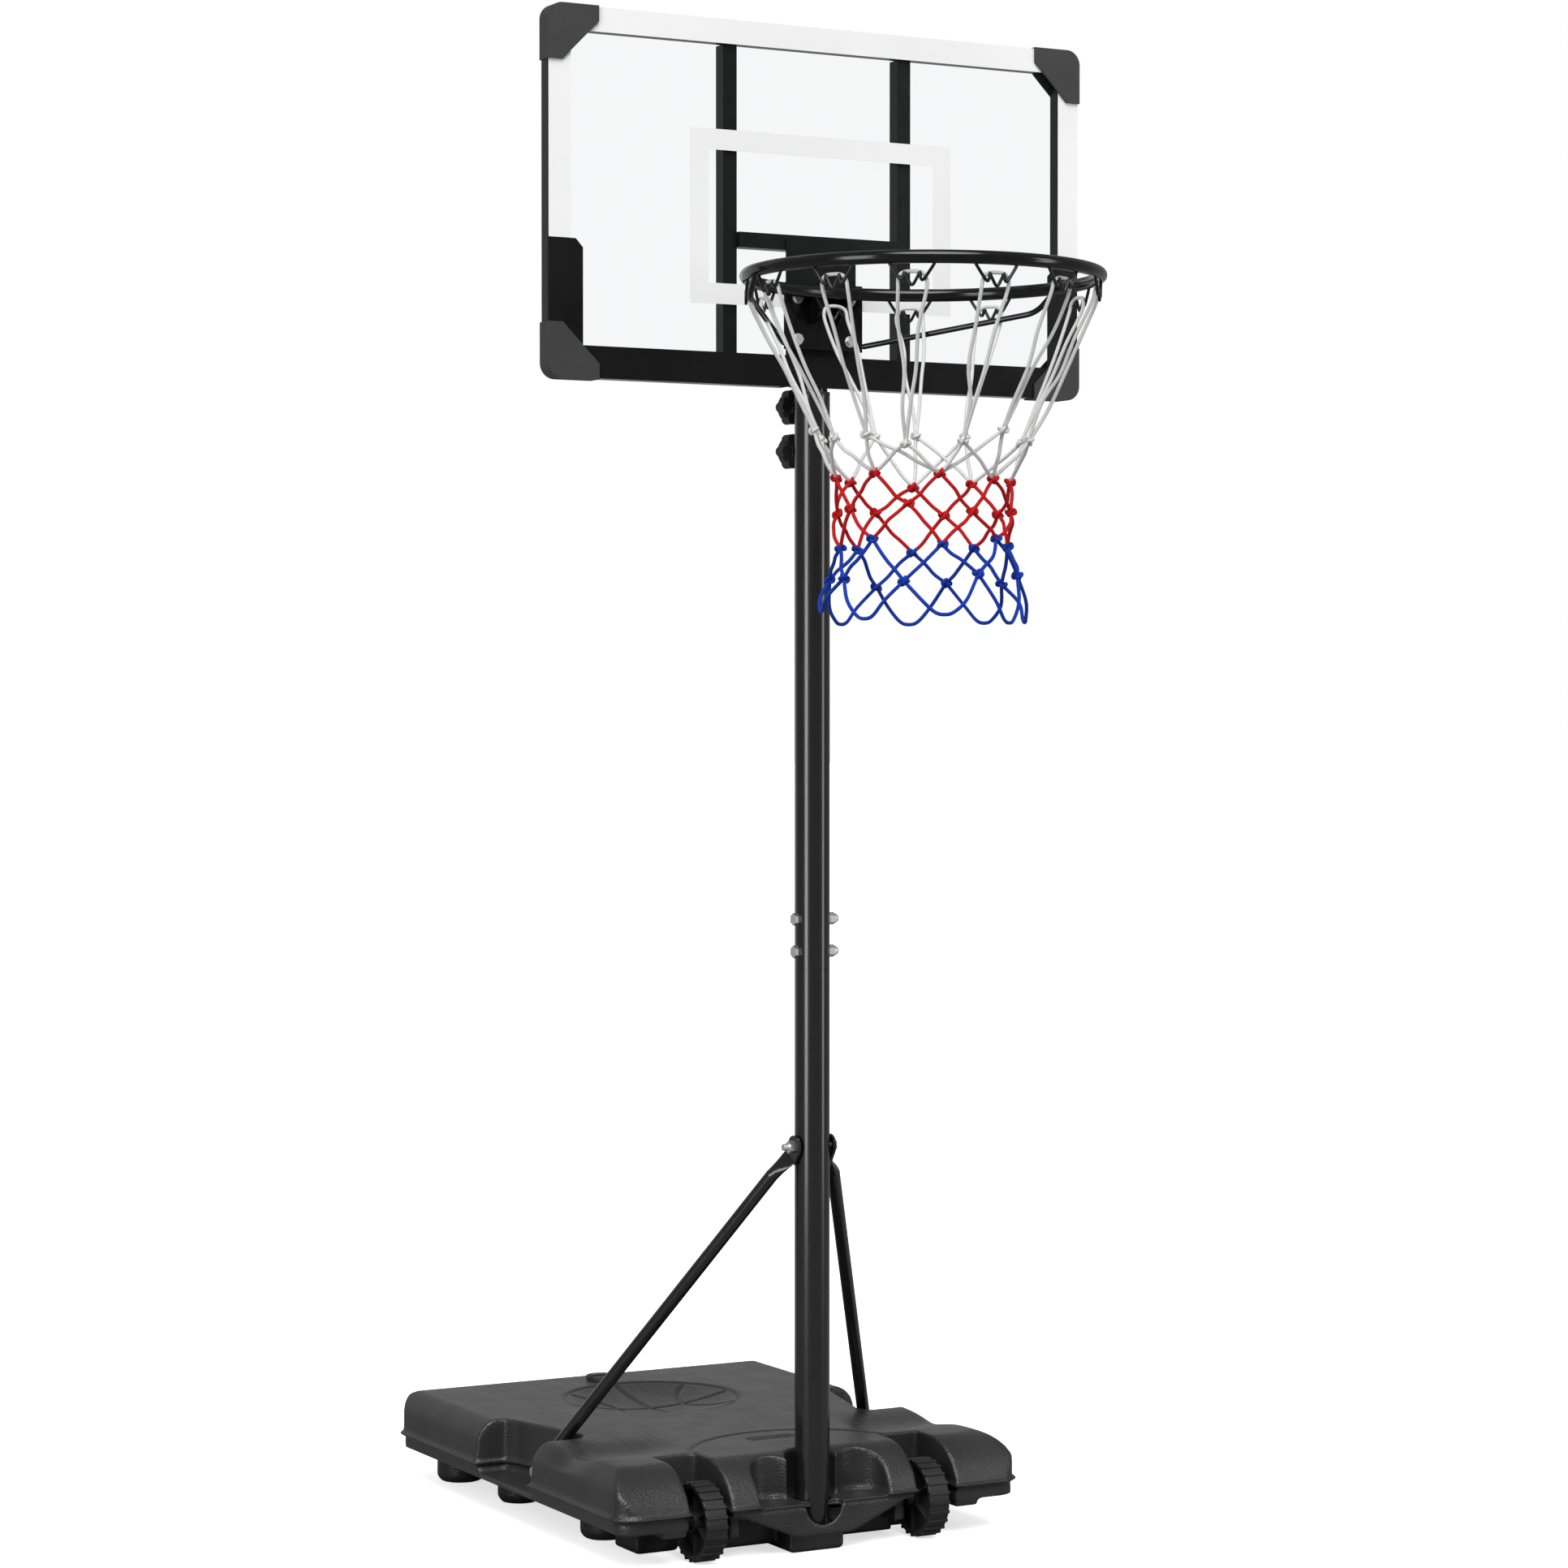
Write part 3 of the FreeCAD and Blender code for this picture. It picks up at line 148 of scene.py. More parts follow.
def make_studio():
    """Plain soft light: a broad one overhead and a softbox at the left, right and rear."""
    bpy.context.scene.view_settings.view_transform = "Standard"
    make_world()
    sun = bpy.data.lights.new("overhead_dome", "SUN")
    sun.energy = 3.4
    sun.angle = math.radians(45)
    dome = bpy.data.objects.new("overhead_dome", sun)
    dome.rotation_euler = (math.radians(33), math.radians(-14), 0)
    bpy.context.scene.collection.objects.link(dome)
    soft_light("left_softbox", (-3.33, -1.35, 1.3), (0, 0, 0.9), (1.2, 3.4), 80)
    soft_light("right_softbox", (2.64, -2.46, 1.3), (0, 0, 0.9), (0.7, 3.4), 34)
    soft_light("rear_softbox", (0.5, 5.0, 1.4), (0, 0, 1.0), (7.0, 3.2), 20)


def make_floor():
    """A pale floor up to the horizon, which throws only a little light back at the object."""
    mesh = bpy.data.meshes.new("floor")
    reach = 60.0
    corners = [(-reach, -reach, 0), (reach, -reach, 0), (reach, reach, 0), (-reach, reach, 0)]
    mesh.from_pydata(corners, [], [(0, 1, 2, 3)])
    floor = bpy.data.objects.new("floor", mesh)
    bpy.context.scene.collection.objects.link(floor)
    surface = Surface("studio_floor", (0.97, 0.97, 0.97), 1.0, shine=0.0)
    surface.shader.inputs["Emission Color"].default_value = (1, 1, 1, 1)
    surface.shader.inputs["Emission Strength"].default_value = 0.65
    surface.mottle((0.94, 0.94, 0.94), 2.0)
    dim = surface.add("ShaderNodeBsdfDiffuse", Color=(0.22, 0.22, 0.22, 1))
    rays = surface.add("ShaderNodeLightPath")
    mix = surface.add("ShaderNodeMixShader")
    surface.link(rays.outputs["Is Camera Ray"], mix.inputs["Fac"])
    surface.link(dim.outputs["BSDF"], mix.inputs[1])
    surface.link(surface.shader.outputs["BSDF"], mix.inputs[2])
    surface.link(mix.outputs["Shader"], surface.tree.nodes["Material Output"].inputs["Surface"])
    mesh.materials.append(surface.material)


# ---------------------------------------------------------------- materials


class Surface:
    """A procedural material that is built up in layers round one Principled shader."""

    def __init__(self, name, colour, roughness, metallic=0.0, shine=0.5):
        self.material = bpy.data.materials.new(name)
        self.material.use_nodes = True
        self.tree = self.material.node_tree
        self.shader = self.tree.nodes["Principled BSDF"]
        self.shader.inputs["Base Color"].default_value = (*colour, 1)
        self.shader.inputs["Roughness"].default_value = roughness
        self.shader.inputs["Metallic"].default_value = metallic
        self.shader.inputs["Specular IOR Level"].default_value = shine
        self.colour = colour
        self.where = self.add("ShaderNodeTexCoord").outputs["Object"]
        self.bump = None

    def add(self, kind, **inputs):
        node = self.tree.nodes.new(kind)
        for name, value in inputs.items():
            node.inputs[name.replace("_", " ")].default_value = value
        return node

    def link(self, source, target):
        self.tree.links.new(source, target)

    def noise(self, scale, where=None):
        node = self.add("ShaderNodeTexNoise", Scale=scale, Detail=4.0)
        self.link(where or self.where, node.inputs["Vector"])
        return node.outputs["Fac"]

    def stretched(self, along):
        """Coordinates squeezed on each axis, so that a noise runs along the longest one."""
        node = self.add("ShaderNodeMapping", Scale=along)
        self.link(self.where, node.inputs["Vector"])
        return node.outputs["Vector"]

    def mottle(self, other, scale):
        """Blends the base colour into another one by a noise."""
        ramp = self.add("ShaderNodeValToRGB")
        ramp.color_ramp.elements[0].position = 0.35
        ramp.color_ramp.elements[0].color = (*self.colour, 1)
        ramp.color_ramp.elements[1].position = 0.65
        ramp.color_ramp.elements[1].color = (*other, 1)
        self.link(self.noise(scale), ramp.inputs["Fac"])
        self.link(ramp.outputs["Color"], self.shader.inputs["Base Color"])

    def uneven_gloss(self, low, high, scale):
        """Roughness that wanders between two values."""
        spread = self.add("ShaderNodeMapRange", To_Min=low, To_Max=high)
        self.link(self.noise(scale), spread.inputs["Value"])
        self.link(spread.outputs["Result"], self.shader.inputs["Roughness"])

    def raise_by(self, height, strength, distance):
        """Adds one more layer of relief on top of those already there."""
        bump = self.add("ShaderNodeBump", Strength=strength, Distance=distance)
        self.link(height, bump.inputs["Height"])
        if self.bump:
            self.link(self.bump.outputs["Normal"], bump.inputs["Normal"])
        self.bump = bump
        self.link(bump.outputs["Normal"], self.shader.inputs["Normal"])

    def grain(self, scale, strength, distance):
        self.raise_by(self.noise(scale), strength, distance)

    def pebbles(self, scale, strength, distance=0.0005):
        """The rounded grain of a blasted mould."""
        node = self.add("ShaderNodeTexVoronoi", Scale=scale)
        node.feature = "SMOOTH_F1"
        self.link(self.where, node.inputs["Vector"])
        self.raise_by(node.outputs["Distance"], strength, distance)

    def level_mask(self):
        """1 where the surface is level and 0 where it slopes."""
        split = self.add("ShaderNodeSeparateXYZ")
        self.link(self.add("ShaderNodeNewGeometry").outputs["True Normal"], split.inputs["Vector"])
        step = self.add("ShaderNodeMapRange", From_Min=0.93, From_Max=0.99)
        self.link(split.outputs["Z"], step.inputs["Value"])
        return step.outputs["Result"]

    def masked_relief(self, height, mask, strength, distance):
        """Relief that fades out with a mask."""
        product = self.add("ShaderNodeMath")
        product.operation = "MULTIPLY"
        self.link(height, product.inputs[0])
        self.link(mask, product.inputs[1])
        self.raise_by(product.outputs["Value"], strength, distance)

    def coat(self, weight, roughness):
        self.shader.inputs["Coat Weight"].default_value = weight
        self.shader.inputs["Coat Roughness"].default_value = roughness


def powder_coat(name, colour, other, roughness, coat=0.0, shine=0.5):
    """Powder coat or enamel: a faint orange peel with a soft sheen."""
    surface = Surface(name, colour, roughness, shine=shine)
    surface.mottle(other, 35)
    surface.uneven_gloss(roughness - 0.05, roughness + 0.06, 60)
    surface.grain(900, 0.12, 0.0002)
    if coat:
        surface.coat(coat, 0.12)
    return surface.material


def moulded_plastic(name, colour, other, roughness, pebble_scale, strength):
    """Injection-moulded plastic with the fine grain of its mould."""
    surface = Surface(name, colour, roughness, shine=0.35)
    surface.mottle(other, 18)
    surface.uneven_gloss(roughness - 0.06, roughness + 0.08, 45)
    surface.pebbles(pebble_scale, strength)
    surface.grain(30, 0.05, 0.001)
    return surface.material


def tank_plastic():
    """Blow-moulded polyethylene: flow lines along the level deck, pebbles on the slopes."""
    surface = Surface("tank_skin_plastic", (0.015, 0.015, 0.0155), 0.38, shine=0.42)
    lines = surface.stretched((190, 4, 4))
    surface.mottle((0.023, 0.023, 0.0235), 14)
    surface.uneven_gloss(0.31, 0.45, 25)
    level = surface.level_mask()
    surface.masked_relief(surface.noise(1.0, where=lines), level, 0.9, 0.0016)
    surface.pebbles(450, 0.5, 0.0010)
    return surface.material


def bright_steel():
    """Zinc-plated steel with a fine, uneven shine."""
    surface = Surface("bright_steel", (0.88, 0.88, 0.89), 0.32, metallic=1.0)
    surface.mottle((0.76, 0.76, 0.78), 260)
    surface.uneven_gloss(0.24, 0.44, 400)
    surface.grain(1500, 0.15, 0.0001)
    return surface.material


def clear_panel():
    """Clear polycarbonate: a faint tint straight through and a sharp gloss on its faces."""
    surface = Surface("clear_panel", (0.18, 0.19, 0.19), 0.05)
    surface.uneven_gloss(0.03, 0.08, 12)
    surface.grain(14, 0.02, 0.0005)
    clear = surface.add("ShaderNodeBsdfTransparent", Color=(0.975, 0.98, 0.982, 1))
    shiny = surface.add("ShaderNodeFresnel", IOR=1.3)
    mix = surface.add("ShaderNodeMixShader")
    gloss = surface.shader
    surface.link(shiny.outputs["Fac"], mix.inputs["Fac"])
    surface.link(clear.outputs["BSDF"], mix.inputs[1])
    surface.link(gloss.outputs["BSDF"], mix.inputs[2])
    surface.link(mix.outputs["Shader"], surface.tree.nodes["Material Output"].inputs["Surface"])
    return surface.material


def printed_ink(name, colour, other, roughness=0.3, shine=0.5):
    """An even layer of ink with a barely uneven gloss."""
    surface = Surface(name, colour, roughness, shine=shine)
    surface.mottle(other, 9)
    surface.uneven_gloss(roughness - 0.06, roughness + 0.08, 30)
    surface.grain(1200, 0.05, 0.0001)
    return surface.material


def braided_cord(name, colour, painted_crevice_shade):
    """Braided cord: two sets of strands that cross as they wind round it, with painted shade in the
    crevices between them.
    """
    surface = Surface(name, colour, 0.85, shine=0.15)
    uv = surface.add("ShaderNodeUVMap").outputs["UV"]
    heights = []
    for slope in (1, -1):
        turn = surface.add("ShaderNodeMapping")
        turn.inputs["Rotation"].default_value = (0, 0, slope * math.radians(38))
        turn.inputs["Scale"].default_value = (2.0, 2.0, 1)
        surface.link(uv, turn.inputs["Vector"])
        wave = surface.add("ShaderNodeTexWave", Scale=1.0, Distortion=0.4)
        surface.link(turn.outputs["Vector"], wave.inputs["Vector"])
        heights.append(wave.outputs["Fac"])
    weave = surface.add("ShaderNodeMath")
    weave.operation = "MULTIPLY"
    surface.link(heights[0], weave.inputs[0])
    surface.link(heights[1], weave.inputs[1])
    # Painted shade: the base colour turns to the darker crevice colour where the two sets of strands
    # dip.
    ramp = surface.add("ShaderNodeValToRGB")
    ramp.color_ramp.elements[0].position = 0.0
    ramp.color_ramp.elements[0].color = (*painted_crevice_shade, 1)
    ramp.color_ramp.elements[1].position = 0.3
    ramp.color_ramp.elements[1].color = (*colour, 1)
    surface.link(weave.outputs["Value"], ramp.inputs["Fac"])
    surface.link(ramp.outputs["Color"], surface.shader.inputs["Base Color"])
    surface.raise_by(weave.outputs["Value"], 0.6, 0.0008)
    surface.grain(2500, 0.2, 0.0002)
    surface.shader.inputs["Sheen Weight"].default_value = 0.04
    return surface.material


def make_materials():
    """One finished material for each slot of the record, and one for each colour of cord."""
    return {
        "tank_plastic": tank_plastic(),
        "ballast_water": printed_ink("ballast_water", (0.4, 0.5, 0.55), (0.45, 0.55, 0.6)),
        "seal_rubber": moulded_plastic(
            "seal_rubber", (0.02, 0.02, 0.02), (0.03, 0.03, 0.03), 0.7, 900, 0.2),
        "bright_steel": bright_steel(),
        "wheel_plastic": moulded_plastic(
            "wheel_plastic", (0.010, 0.010, 0.010), (0.015, 0.015, 0.0155), 0.5, 700, 0.25),
        "pole_coating": powder_coat(
            "pole_coating", (0.0045, 0.0045, 0.005), (0.0065, 0.0065, 0.007), 0.22, 0.35),
        "guard_plastic": moulded_plastic(
            "guard_plastic", (0.031, 0.031, 0.032), (0.038, 0.038, 0.039), 0.58, 1100, 0.25),
        "knob_plastic": moulded_plastic(
            "knob_plastic", (0.012, 0.012, 0.013), (0.02, 0.02, 0.021), 0.45, 800, 0.3),
        "frame_coating": powder_coat(
            "frame_coating", (0.004, 0.004, 0.0044), (0.006, 0.006, 0.0064), 0.28, shine=0.3),
        "clear_panel": clear_panel(),
        "white_ink": printed_ink("white_ink", (0.78, 0.78, 0.78), (0.75, 0.75, 0.755)),
        "black_ink": printed_ink("black_ink", (0.004, 0.004, 0.0045), (0.006, 0.006, 0.006), 0.14, 0.3),
        "target_ink": printed_ink("target_ink", (0.76, 0.76, 0.76), (0.73, 0.73, 0.735)),
        "black_screws": powder_coat("black_screws", (0.02, 0.02, 0.02), (0.03, 0.03, 0.03), 0.4),
        "ring_enamel": powder_coat(
            "ring_enamel", (0.003, 0.003, 0.0034), (0.005, 0.005, 0.0054), 0.16, 0.15, shine=0.3),
        # The second colour of each cord is painted shade for the crevices of its braid.
        "net_white": braided_cord("net_white", (0.93, 0.93, 0.92), (0.45, 0.45, 0.45)),
        "net_red": braided_cord("net_red", (0.78, 0.008, 0.010), (0.30, 0.003, 0.004)),
        "net_blue": braided_cord("net_blue", (0.004, 0.055, 0.56), (0.002, 0.02, 0.20)),
    }


def dress_nodes(materials):
    """Gives every CAD node its finished material and softens the edges of the plain ones."""
    slot_of = {part["node"]: part["material_slot"] for part in frame["record"]["subparts"]}
    for name, obj in frame["nodes"].items():
        slot_name = slot_of[name]
        material = materials.get(slot_name)
        if material is None:
            continue
        obj.data.materials.clear()
        obj.data.materials.append(material)
        if slot_name in SOFT_EDGES:
            soften(obj, SOFT_EDGES[slot_name])


def soften(obj, width):
    """Rounds the sharp edges of a CAD node with a bevel."""
    bevel = obj.modifiers.new("soft_edges", "BEVEL")
    bevel.width = width
    bevel.segments = 2
    bevel.limit_method = "ANGLE"
    bevel.angle_limit = math.radians(35)
    bevel.harden_normals = True


# ---------------------------------------------------------------- mesh helpers


def add_piece(name, mesh, body, material):
    """A smooth-shaded piece of its own that rides one body."""
    piece = bpy.data.objects.new(name, mesh)
    bpy.context.scene.collection.objects.link(piece)
    mesh.materials.append(material)
    for polygon in mesh.polygons:
        polygon.use_smooth = True
    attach(piece, body)
    return piece


def smooth_path(points, steps):
    """Points along a Catmull-Rom curve through the given ones."""
    ends = [2 * points[0] - points[1]] + list(points) + [2 * points[-1] - points[-2]]
    path = []
    for a, b, c, d in zip(ends, ends[1:], ends[2:], ends[3:]):
        for step in range(steps):
            s = step / steps
            path.append(0.5 * (
                2 * b + (c - a) * s + (2 * a - 5 * b + 4 * c - d) * s**2
                + (3 * b - a - 3 * c + d) * s**3
            ))
    path.append(points[-1].copy())
    return path


class Tubes:
    """One mesh of round tubes, each swept along its own path."""

    def __init__(self, sides=8):
        self.sides = sides
        self.points = []
        self.faces = []
        self.uvs = []

    def add(self, path, radius, closed=False):
        """Sweeps a tube; its UV runs in cord widths along and once round."""
        start = len(self.points)
        count = len(path)
        side = None
        travelled = 0.0
        lengths = []
        for i, point in enumerate(path):
            before = path[i - 1] if i > 0 or closed else path[i]
            after = path[(i + 1) % count] if i < count - 1 or closed else path[i]
            forward = (after - before).normalized()
            if side is None:
                side = forward.orthogonal().normalized()
            side = (side - forward * side.dot(forward)).normalized()
            up = forward.cross(side)
            if i:
                travelled += (point - path[i - 1]).length
            lengths.append(travelled / (radius * 2))
            for k in range(self.sides):
                angle = 2 * math.pi * k / self.sides
                self.points.append(point + radius * (math.cos(angle) * side + math.sin(angle) * up))
        rings = count if closed else count - 1
        for i in range(rings):
            here = start + i * self.sides
            there = start + ((i + 1) % count) * self.sides
            along = (lengths[i], lengths[i + 1] if i + 1 < count else lengths[i] + 0.5)
            for k in range(self.sides):
                n = (k + 1) % self.sides
                self.faces.append((here + k, here + n, there + n, there + k))
                v0, v1 = k / self.sides * 3, (k + 1) / self.sides * 3
                self.uvs += [(along[0], v0), (along[0], v1), (along[1], v1), (along[1], v0)]
        if not closed:
            self.cap(start, True)
            self.cap(start + (count - 1) * self.sides, False)

    def cap(self, first, reverse):
        ring = list(range(first, first + self.sides))
        if reverse:
            ring.reverse()
        self.faces.append(tuple(ring))
        self.uvs += [(0, 0)] * self.sides

    def mesh(self, name):
        mesh = bpy.data.meshes.new(name)
        mesh.from_pydata(self.points, [], self.faces)
        layer = mesh.uv_layers.new(name="along_and_round")
        layer.data.foreach_set("uv", np.array(self.uvs, dtype=np.float32).ravel())
        return mesh


# ---------------------------------------------------------------- ring wires and net


def on_net(bearing, radius, level):
    """A point at a bearing and a radius round the ring's axis."""
    angle = math.radians(bearing)
    x = radius * math.sin(angle)
    y = -radius * math.cos(angle)
    return Vector((RING_CENTRE.x + x, RING_CENTRE.y + y, level))


def beside_hook(bearing, across, drop, inward=0.0):
    """A point near a hook: so far along the ring, below it and in from it."""
    angle = math.radians(bearing)
    outward = Vector((math.sin(angle), -math.cos(angle), 0))
    along = Vector((math.cos(angle), math.sin(angle), 0))
    reach = math.sqrt(RING_RADIUS**2 - across**2) - inward
    return RING_CENTRE + outward * reach + along * across - Vector((0, 0, drop))


def make_hooks(material):
    """A bent wire for each loop: two legs, a dip for the cord on each side, and a V between."""
    tubes = Tubes(10)
    outline = [*HALF_HOOK, *((-across, drop) for across, drop in reversed(HALF_HOOK[:-1]))]
    for bearing in HOOK_BEARINGS:
        points = [beside_hook(bearing, across, drop) for across, drop in outline]
        tubes.add(smooth_path(points, 5), HOOK_WIRE)
    piece = add_piece("net_hook_wires", tubes.mesh("net_hook_wires"), CARRIAGE, material)
    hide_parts("net_hooks")


def wander(rng, size):
    """A random step of at most a given size on each axis."""
    return Vector((rng.uniform(-size, size), rng.uniform(-size, size), rng.uniform(-size, size)))


def add_knot(tubes, centre, size, radius, rng):
    """A small tied knot: a closed trefoil of cord, turned at random."""
    turn = Vector((rng.uniform(-0.5, 0.5), rng.uniform(-0.5, 0.5), 1)).to_track_quat("Z", "Y")
    spin = rng.uniform(0, 2 * math.pi)
    path = []
    steps = 30
    for step in range(steps):
        t = 2 * math.pi * step / steps
        flat = Vector((
            math.sin(t) + 2 * math.sin(2 * t),
            math.cos(t) - 2 * math.cos(2 * t),
            -1.4 * math.sin(3 * t),
        ))
        flat = Vector((
            flat.x * math.cos(spin) - flat.y * math.sin(spin),
            flat.x * math.sin(spin) + flat.y * math.cos(spin),
            flat.z,
        ))
        path.append(centre + turn @ (flat * size / 3))
    tubes.add(path, radius, closed=True)


class Net:
    """The net's rows of knots and the cords between them."""

    SEED = 7
    CORD = 0.0021
    SMALL_KNOT, LARGE_KNOT = 0.0052, 0.0056
    WHITE_SLACK, COLOURED_SLACK, LOOP_SLACK = 0.0045, 0.0048, 0.0034
    OVER_HOOK = (  # along the ring, below it, in from it
        (-0.0155, 0.034, 0.006), (-0.0145, 0.0215, 0.003), (-0.009, 0.0165, 0.002),
        (0.0, 0.0155, 0.0035),
        (0.009, 0.0165, 0.002), (0.0145, 0.0215, 0.003), (0.0155, 0.034, 0.006),
    )
    ROWS = (  # drop below the ring, radius, half a step round or not
        (0.2265, 0.100, False),
        (0.2635, 0.096, True),
        (0.3015, 0.095, False),
        (0.3405, 0.105, True),
    )
    FIRST_DROP, FIRST_RADIUS = 0.1815, 0.122
    HEM_DROP, HEM_RADIUS = 0.3855, 0.116

    def __init__(self):
        self.rng = random.Random(self.SEED)
        self.white = Tubes()
        self.red = Tubes()
        self.blue = Tubes()
        self.first = [self.first_knot(bearing) for bearing in HOOK_BEARINGS]
        self.rows = [self.row(*sizes) for sizes in self.ROWS]

    def first_knot(self, bearing):
        drop = self.FIRST_DROP + self.rng.uniform(-0.012, 0.014)
        turned = bearing + self.rng.uniform(-6, 6)
        return turned, on_net(turned, self.FIRST_RADIUS, RING_CENTRE.z - drop)

    def row(self, drop, radius, shifted):
        step = 360 / LOWER_KNOTS
        knots = []
        for number in range(LOWER_KNOTS):
            bearing = FIRST_KNOT_BEARING + step * number + (step / 2 if shifted else 0)
            bearing += self.rng.uniform(-4, 4)
            level = RING_CENTRE.z - drop + self.rng.uniform(-0.005, 0.005)
            knots.append((bearing, on_net(bearing, radius + self.rng.uniform(-0.004, 0.004), level)))
        return knots

    def strand(self, tubes, start, end, slack):
        """One cord between two knots, with a little slack in it."""
        middle = (start + end) / 2
        out = Vector((middle.x - RING_CENTRE.x, middle.y - RING_CENTRE.y, 0)).normalized()
        bow = out * slack * self.rng.uniform(0.4, 1.0) + wander(self.rng, slack * 0.5)
        quarter = start.lerp(end, 0.28) + bow * 0.7 + wander(self.rng, slack * 0.3)
        late = start.lerp(end, 0.72) + bow * 0.7 + wander(self.rng, slack * 0.3)
        tubes.add(smooth_path([start, quarter, middle + bow, late, end], 5), self.CORD)

    def hang_loops(self):
        """A long loop over each hook, tied where its two sides meet."""
        for bearing, (_, knot) in zip(HOOK_BEARINGS, self.first):
            over = [beside_hook(bearing, *place) for place in self.OVER_HOOK]
            points = [knot + Vector((0, 0, 0.001)), *self.side(knot, over[0]), *over]
            points += reversed(self.side(knot, over[-1]))
            points.append(knot - Vector((0, 0, 0.001)))
            self.white.add(smooth_path(points, 6), self.CORD)
            add_knot(self.white, knot, self.SMALL_KNOT, self.CORD * 0.95, self.rng)

    def side(self, knot, top):
        """The inner points of one side of a loop, from its knot up."""
        return [
            knot.lerp(top, share) + wander(self.rng, self.LOOP_SLACK)
            for share in (0.25, 0.5, 0.75)
        ]

    def join_rows(self):
        """The crossing cords from row to row, and the knots where they meet."""
        step = 360 / LOWER_KNOTS
        second = self.rows[0]
        for bearing, knot in self.first:
            place = (bearing - FIRST_KNOT_BEARING) / step
            for number in (math.floor(place), math.floor(place) + 1):
                lower = second[number % LOWER_KNOTS][1]
                self.strand(self.white, knot, lower, self.WHITE_SLACK)
        for tubes, upper, lower in (
            (self.red, self.rows[0], self.rows[1]),
            (self.red, self.rows[1], self.rows[2]),
            (self.blue, self.rows[2], self.rows[3]),
        ):
            shift = 0 if lower is not self.rows[2] else 1
            for number in range(LOWER_KNOTS):
                for other in (number - 1 + shift, number + shift):
                    end = lower[other % LOWER_KNOTS][1]
                    self.strand(tubes, upper[number][1], end, self.COLOURED_SLACK)
        for tubes, row in ((self.red, 0), (self.red, 1), (self.blue, 2), (self.blue, 3)):
            for _, knot in self.rows[row]:
                add_knot(tubes, knot, self.LARGE_KNOT, self.CORD, self.rng)

    def hang_hem(self):
        """The open loops at the bottom of the net."""
        last = self.rows[3]
        for number in range(LOWER_KNOTS):
            start, end = last[number], last[(number + 1) % LOWER_KNOTS]
            turn = (end[0] - start[0]) % 360
            middle = start[0] + turn / 2
            drop = self.HEM_DROP + self.rng.uniform(-0.010, 0.008)
            points = [start[1]]
            for share, depth in ((0.22, 0.55), (0.38, 0.92), (0.5, 1.0), (0.62, 0.92), (0.78, 0.55)):
                level = start[1].z + (RING_CENTRE.z - drop - start[1].z) * depth
                points.append(on_net(middle + (share - 0.5) * turn, self.HEM_RADIUS, level))
            points.append(end[1])
            self.blue.add(smooth_path(points, 6), self.CORD)

    def pieces(self, materials):
        """Makes the cords of each colour into one piece."""
        self.hang_loops()
        self.join_rows()
        self.hang_hem()
        for name, tubes in (("white", self.white), ("red", self.red), ("blue", self.blue)):
            label = f"net_cords_{name}"
            add_piece(label, tubes.mesh(label), CARRIAGE, materials["net_" + name])
        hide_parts("net")


# ---------------------------------------------------------------- tank


def closed_copy(names):
    """One bmesh of several CAD nodes and a plug in the filler's neck."""
    solid = bmesh.new()
    for name in names:
        solid.from_mesh(frame["nodes"][name].data)
    plug = bmesh.ops.create_cone(
        solid, cap_ends=True, segments=32,
        radius1=PLUG_RADIUS, radius2=PLUG_RADIUS, depth=PLUG_DEPTH)["verts"]
    place = (CAP_CENTRE.x, CAP_CENTRE.y, DECK_LEVEL - PLUG_DROP)
    bmesh.ops.translate(solid, verts=plug, vec=place)
    return solid


def remeshed(solid, voxel):
    """The outer skin of a bmesh, as an even mesh of small quads."""
    mesh = bpy.data.meshes.new("raw_tank")
    solid.to_mesh(mesh)
    solid.free()
    raw = bpy.data.objects.new("raw_tank", mesh)
    bpy.context.scene.collection.objects.link(raw)
    modifier = raw.modifiers.new("even_skin", "REMESH")
    modifier.mode = "VOXEL"
    modifier.voxel_size = voxel
    rounded = raw.modifiers.new("rounded", "SMOOTH")
    rounded.factor = 0.5
    rounded.iterations = 6
    shaped = bpy.data.meshes.new_from_object(raw.evaluated_get(bpy.context.evaluated_depsgraph_get()))
    bpy.data.objects.remove(raw)
    return shaped


def keep_outer_skin(mesh):
    """Drops every island of the mesh but the largest."""
    count = len(mesh.vertices)
    parent = list(range(count))

    def root(i):
        while parent[i] != i:
            parent[i] = parent[parent[i]]
            i = parent[i]
        return i

    ends = np.empty(len(mesh.edges) * 2, dtype=np.int64)
    mesh.edges.foreach_get("vertices", ends)
    for a, b in ends.reshape(-1, 2).tolist():
        ra, rb = root(a), root(b)
        if ra != rb:
            parent[ra] = rb
    roots = np.array([root(i) for i in range(count)])
    labels, sizes = np.unique(roots, return_counts=True)
    main = labels[np.argmax(sizes)]
    work = bmesh.new()
    work.from_mesh(mesh)
    work.verts.ensure_lookup_table()
    spare = [work.verts[i] for i in np.nonzero(roots != main)[0]]
    bmesh.ops.delete(work, geom=spare, context="VERTS")
    work.to_mesh(mesh)
    work.free()


def rise(values, low, high):
    """A smooth step from 0 at low to 1 at high."""
    s = np.clip((values - low) / (high - low), 0, 1)
    return s * s * (3 - 2 * s)


def ridge(values, centre, width):
    """A smooth bump of height 1."""
    return np.exp(-(((values - centre) / width) ** 2))


def ball_seams(x, y):
    """The seams of a ball, drawn in the round hollow of the deck."""
    inside = 1 - rise(np.hypot(x, y), 0.104, 0.110)
    straight = np.maximum(ridge(x, 0, 0.0024), ridge(y, 0, 0.0024))
    curved = ridge(np.hypot(np.abs(x) - 0.135, y), 0.088, 0.0024)
    return inside * np.maximum(straight, curved)


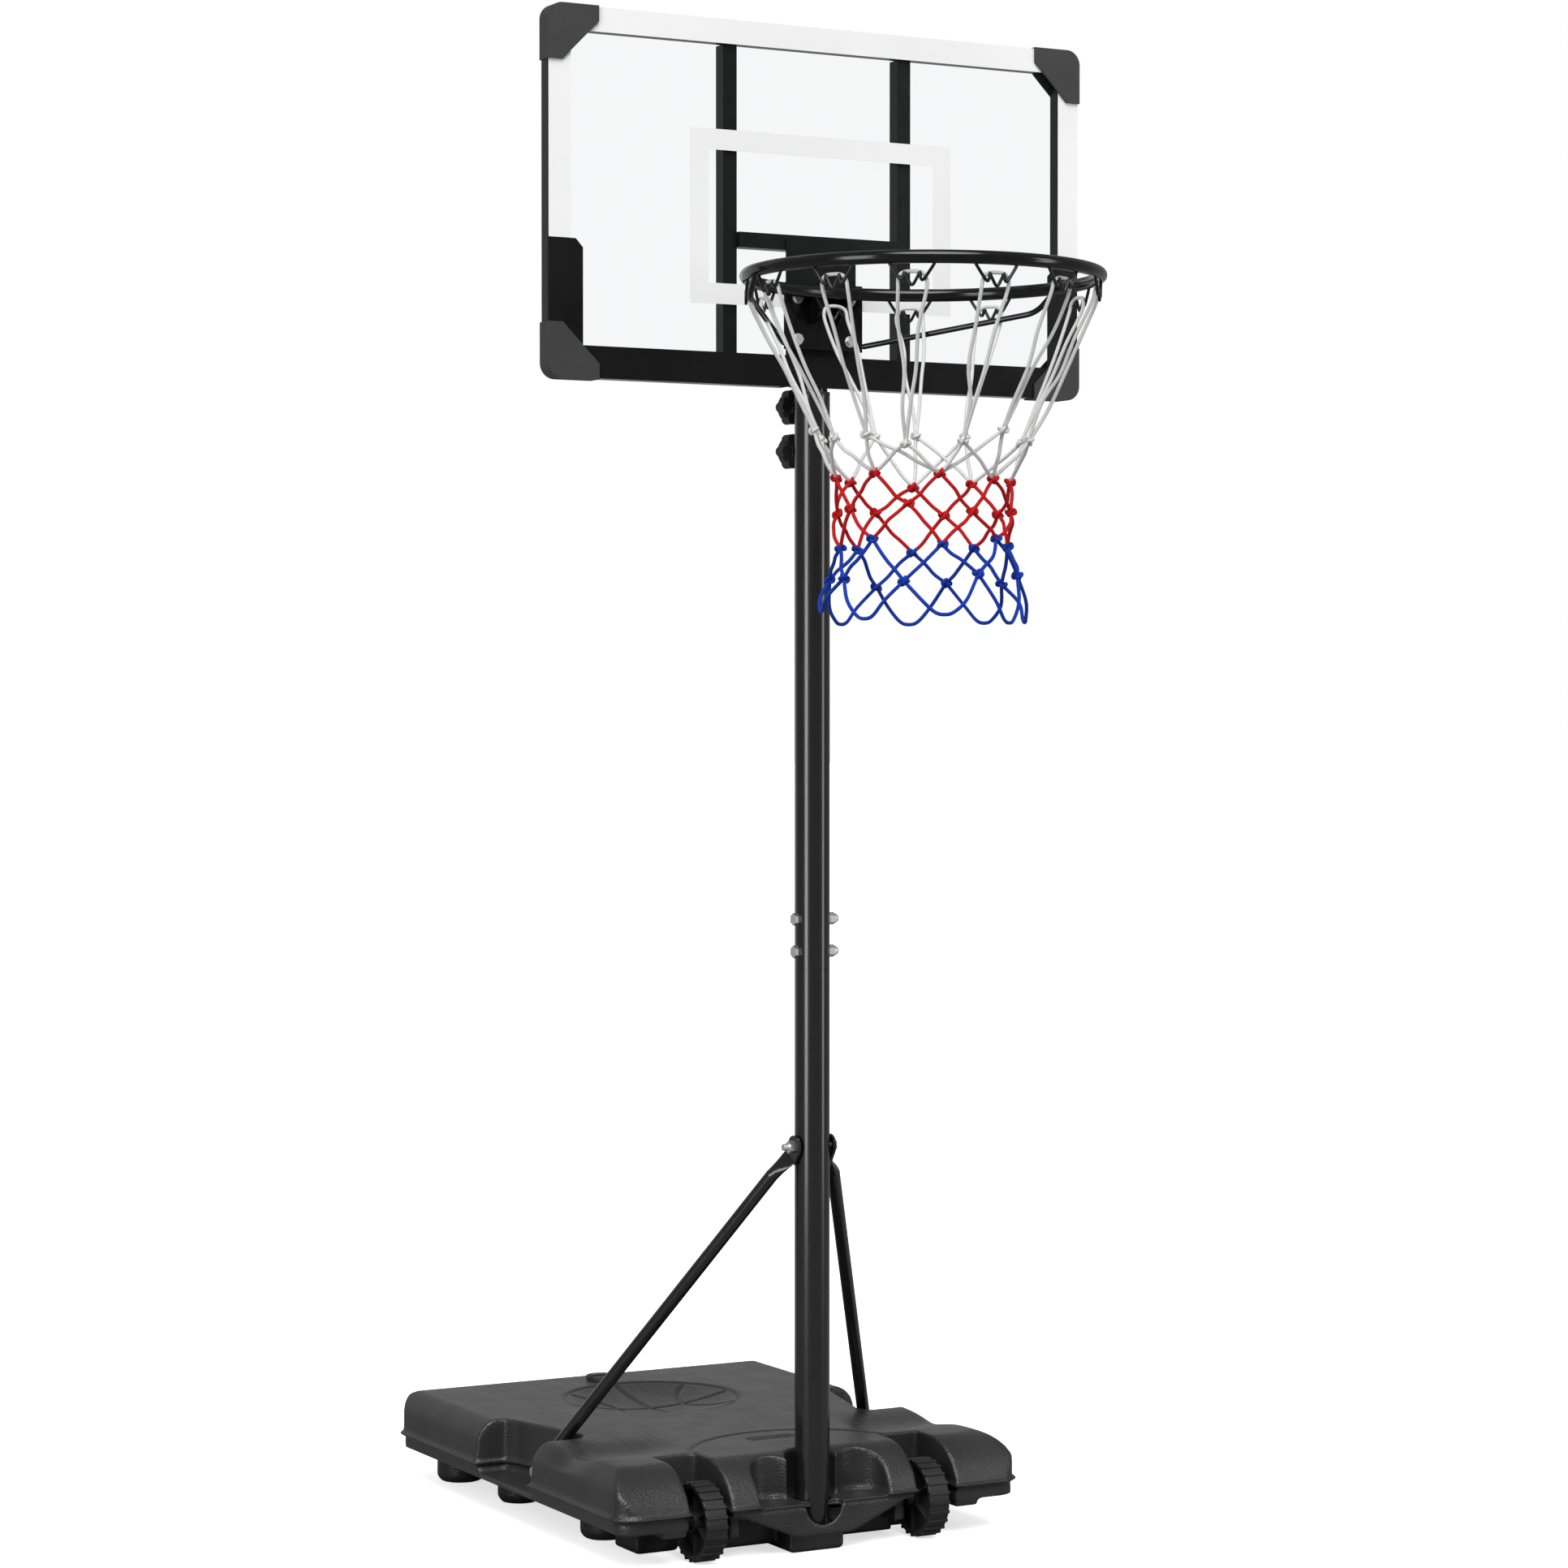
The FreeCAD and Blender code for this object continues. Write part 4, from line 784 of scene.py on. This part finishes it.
def shape_deck(mesh):
    """Sinks the saddles, grooves and ball into the deck, and raises the lip of the seam."""
    count = len(mesh.vertices)
    places = np.empty(count * 3)
    mesh.vertices.foreach_get("co", places)
    normals = np.empty(count * 3)
    mesh.vertex_normals.foreach_get("vector", normals)
    places = places.reshape(-1, 3)
    normals = normals.reshape(-1, 3)
    x, y, z = places.T
    deck = rise(z, 0.085, 0.105) * rise(normals[:, 2], 0.2, 0.7)
    saddle = 0.009 * rise(np.abs(x), 0.10, 0.17) * ridge(y, SADDLE_PLACE, 0.042)
    from_pole = np.hypot(x, y)
    ring_groove = 0.0022 * ridge(from_pole, RING_GROOVE, 0.0026) * rise(y, 0.03, 0.06)
    slot_edge = np.hypot(np.maximum(np.abs(x) - SLOT_HALF, 0), y - SLOT_PLACE)
    slot_groove = 0.0020 * ridge(slot_edge, 0.006, 0.0024)
    from_dish = np.hypot(x, y - DISH_CENTRE)
    seams = 0.0034 * ball_seams(x, y - DISH_CENTRE)
    rim = 0.0030 * ridge(from_dish, DISH_EDGE, 0.0026)
    bowl = 0.0060 * np.clip(1 - (from_dish / DISH_EDGE) ** 2, 0, 1)
    places[:, 2] -= deck * (saddle + ring_groove + slot_groove + seams + rim + bowl)
    wall = rise(1 - np.abs(normals[:, 2]), 0.3, 0.8)
    lip = 0.0036 * ridge(z, SEAM_LEVEL, 0.0020) - 0.0026 * ridge(z, SEAM_LEVEL - 0.0055, 0.0024)
    places[:, :2] += (wall * lip)[:, None] * normals[:, :2]
    mesh.vertices.foreach_set("co", places.ravel())
    mesh.update()


def make_tank(material):
    """The moulded skin of the tank, in place of its plain shell and its ballast."""
    solid = closed_copy(["base_tank", "ballast_fill"])
    skin = remeshed(solid, FINE_GRID)
    keep_outer_skin(skin)
    shape_deck(skin)
    skin.materials.clear()
    piece = add_piece("tank_skin", skin, STAND, material)
    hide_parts("base_tank", "ballast_fill")


# ---------------------------------------------------------------- all of it


def make_scene():
    """The view, the light, the materials and the pieces that take the place of CAD nodes."""
    make_camera()
    make_studio()
    make_floor()
    materials = make_materials()
    dress_nodes(materials)
    make_hooks(materials["ring_enamel"])
    Net().pieces(materials)
    make_tank(materials["tank_plastic"])


make_scene()
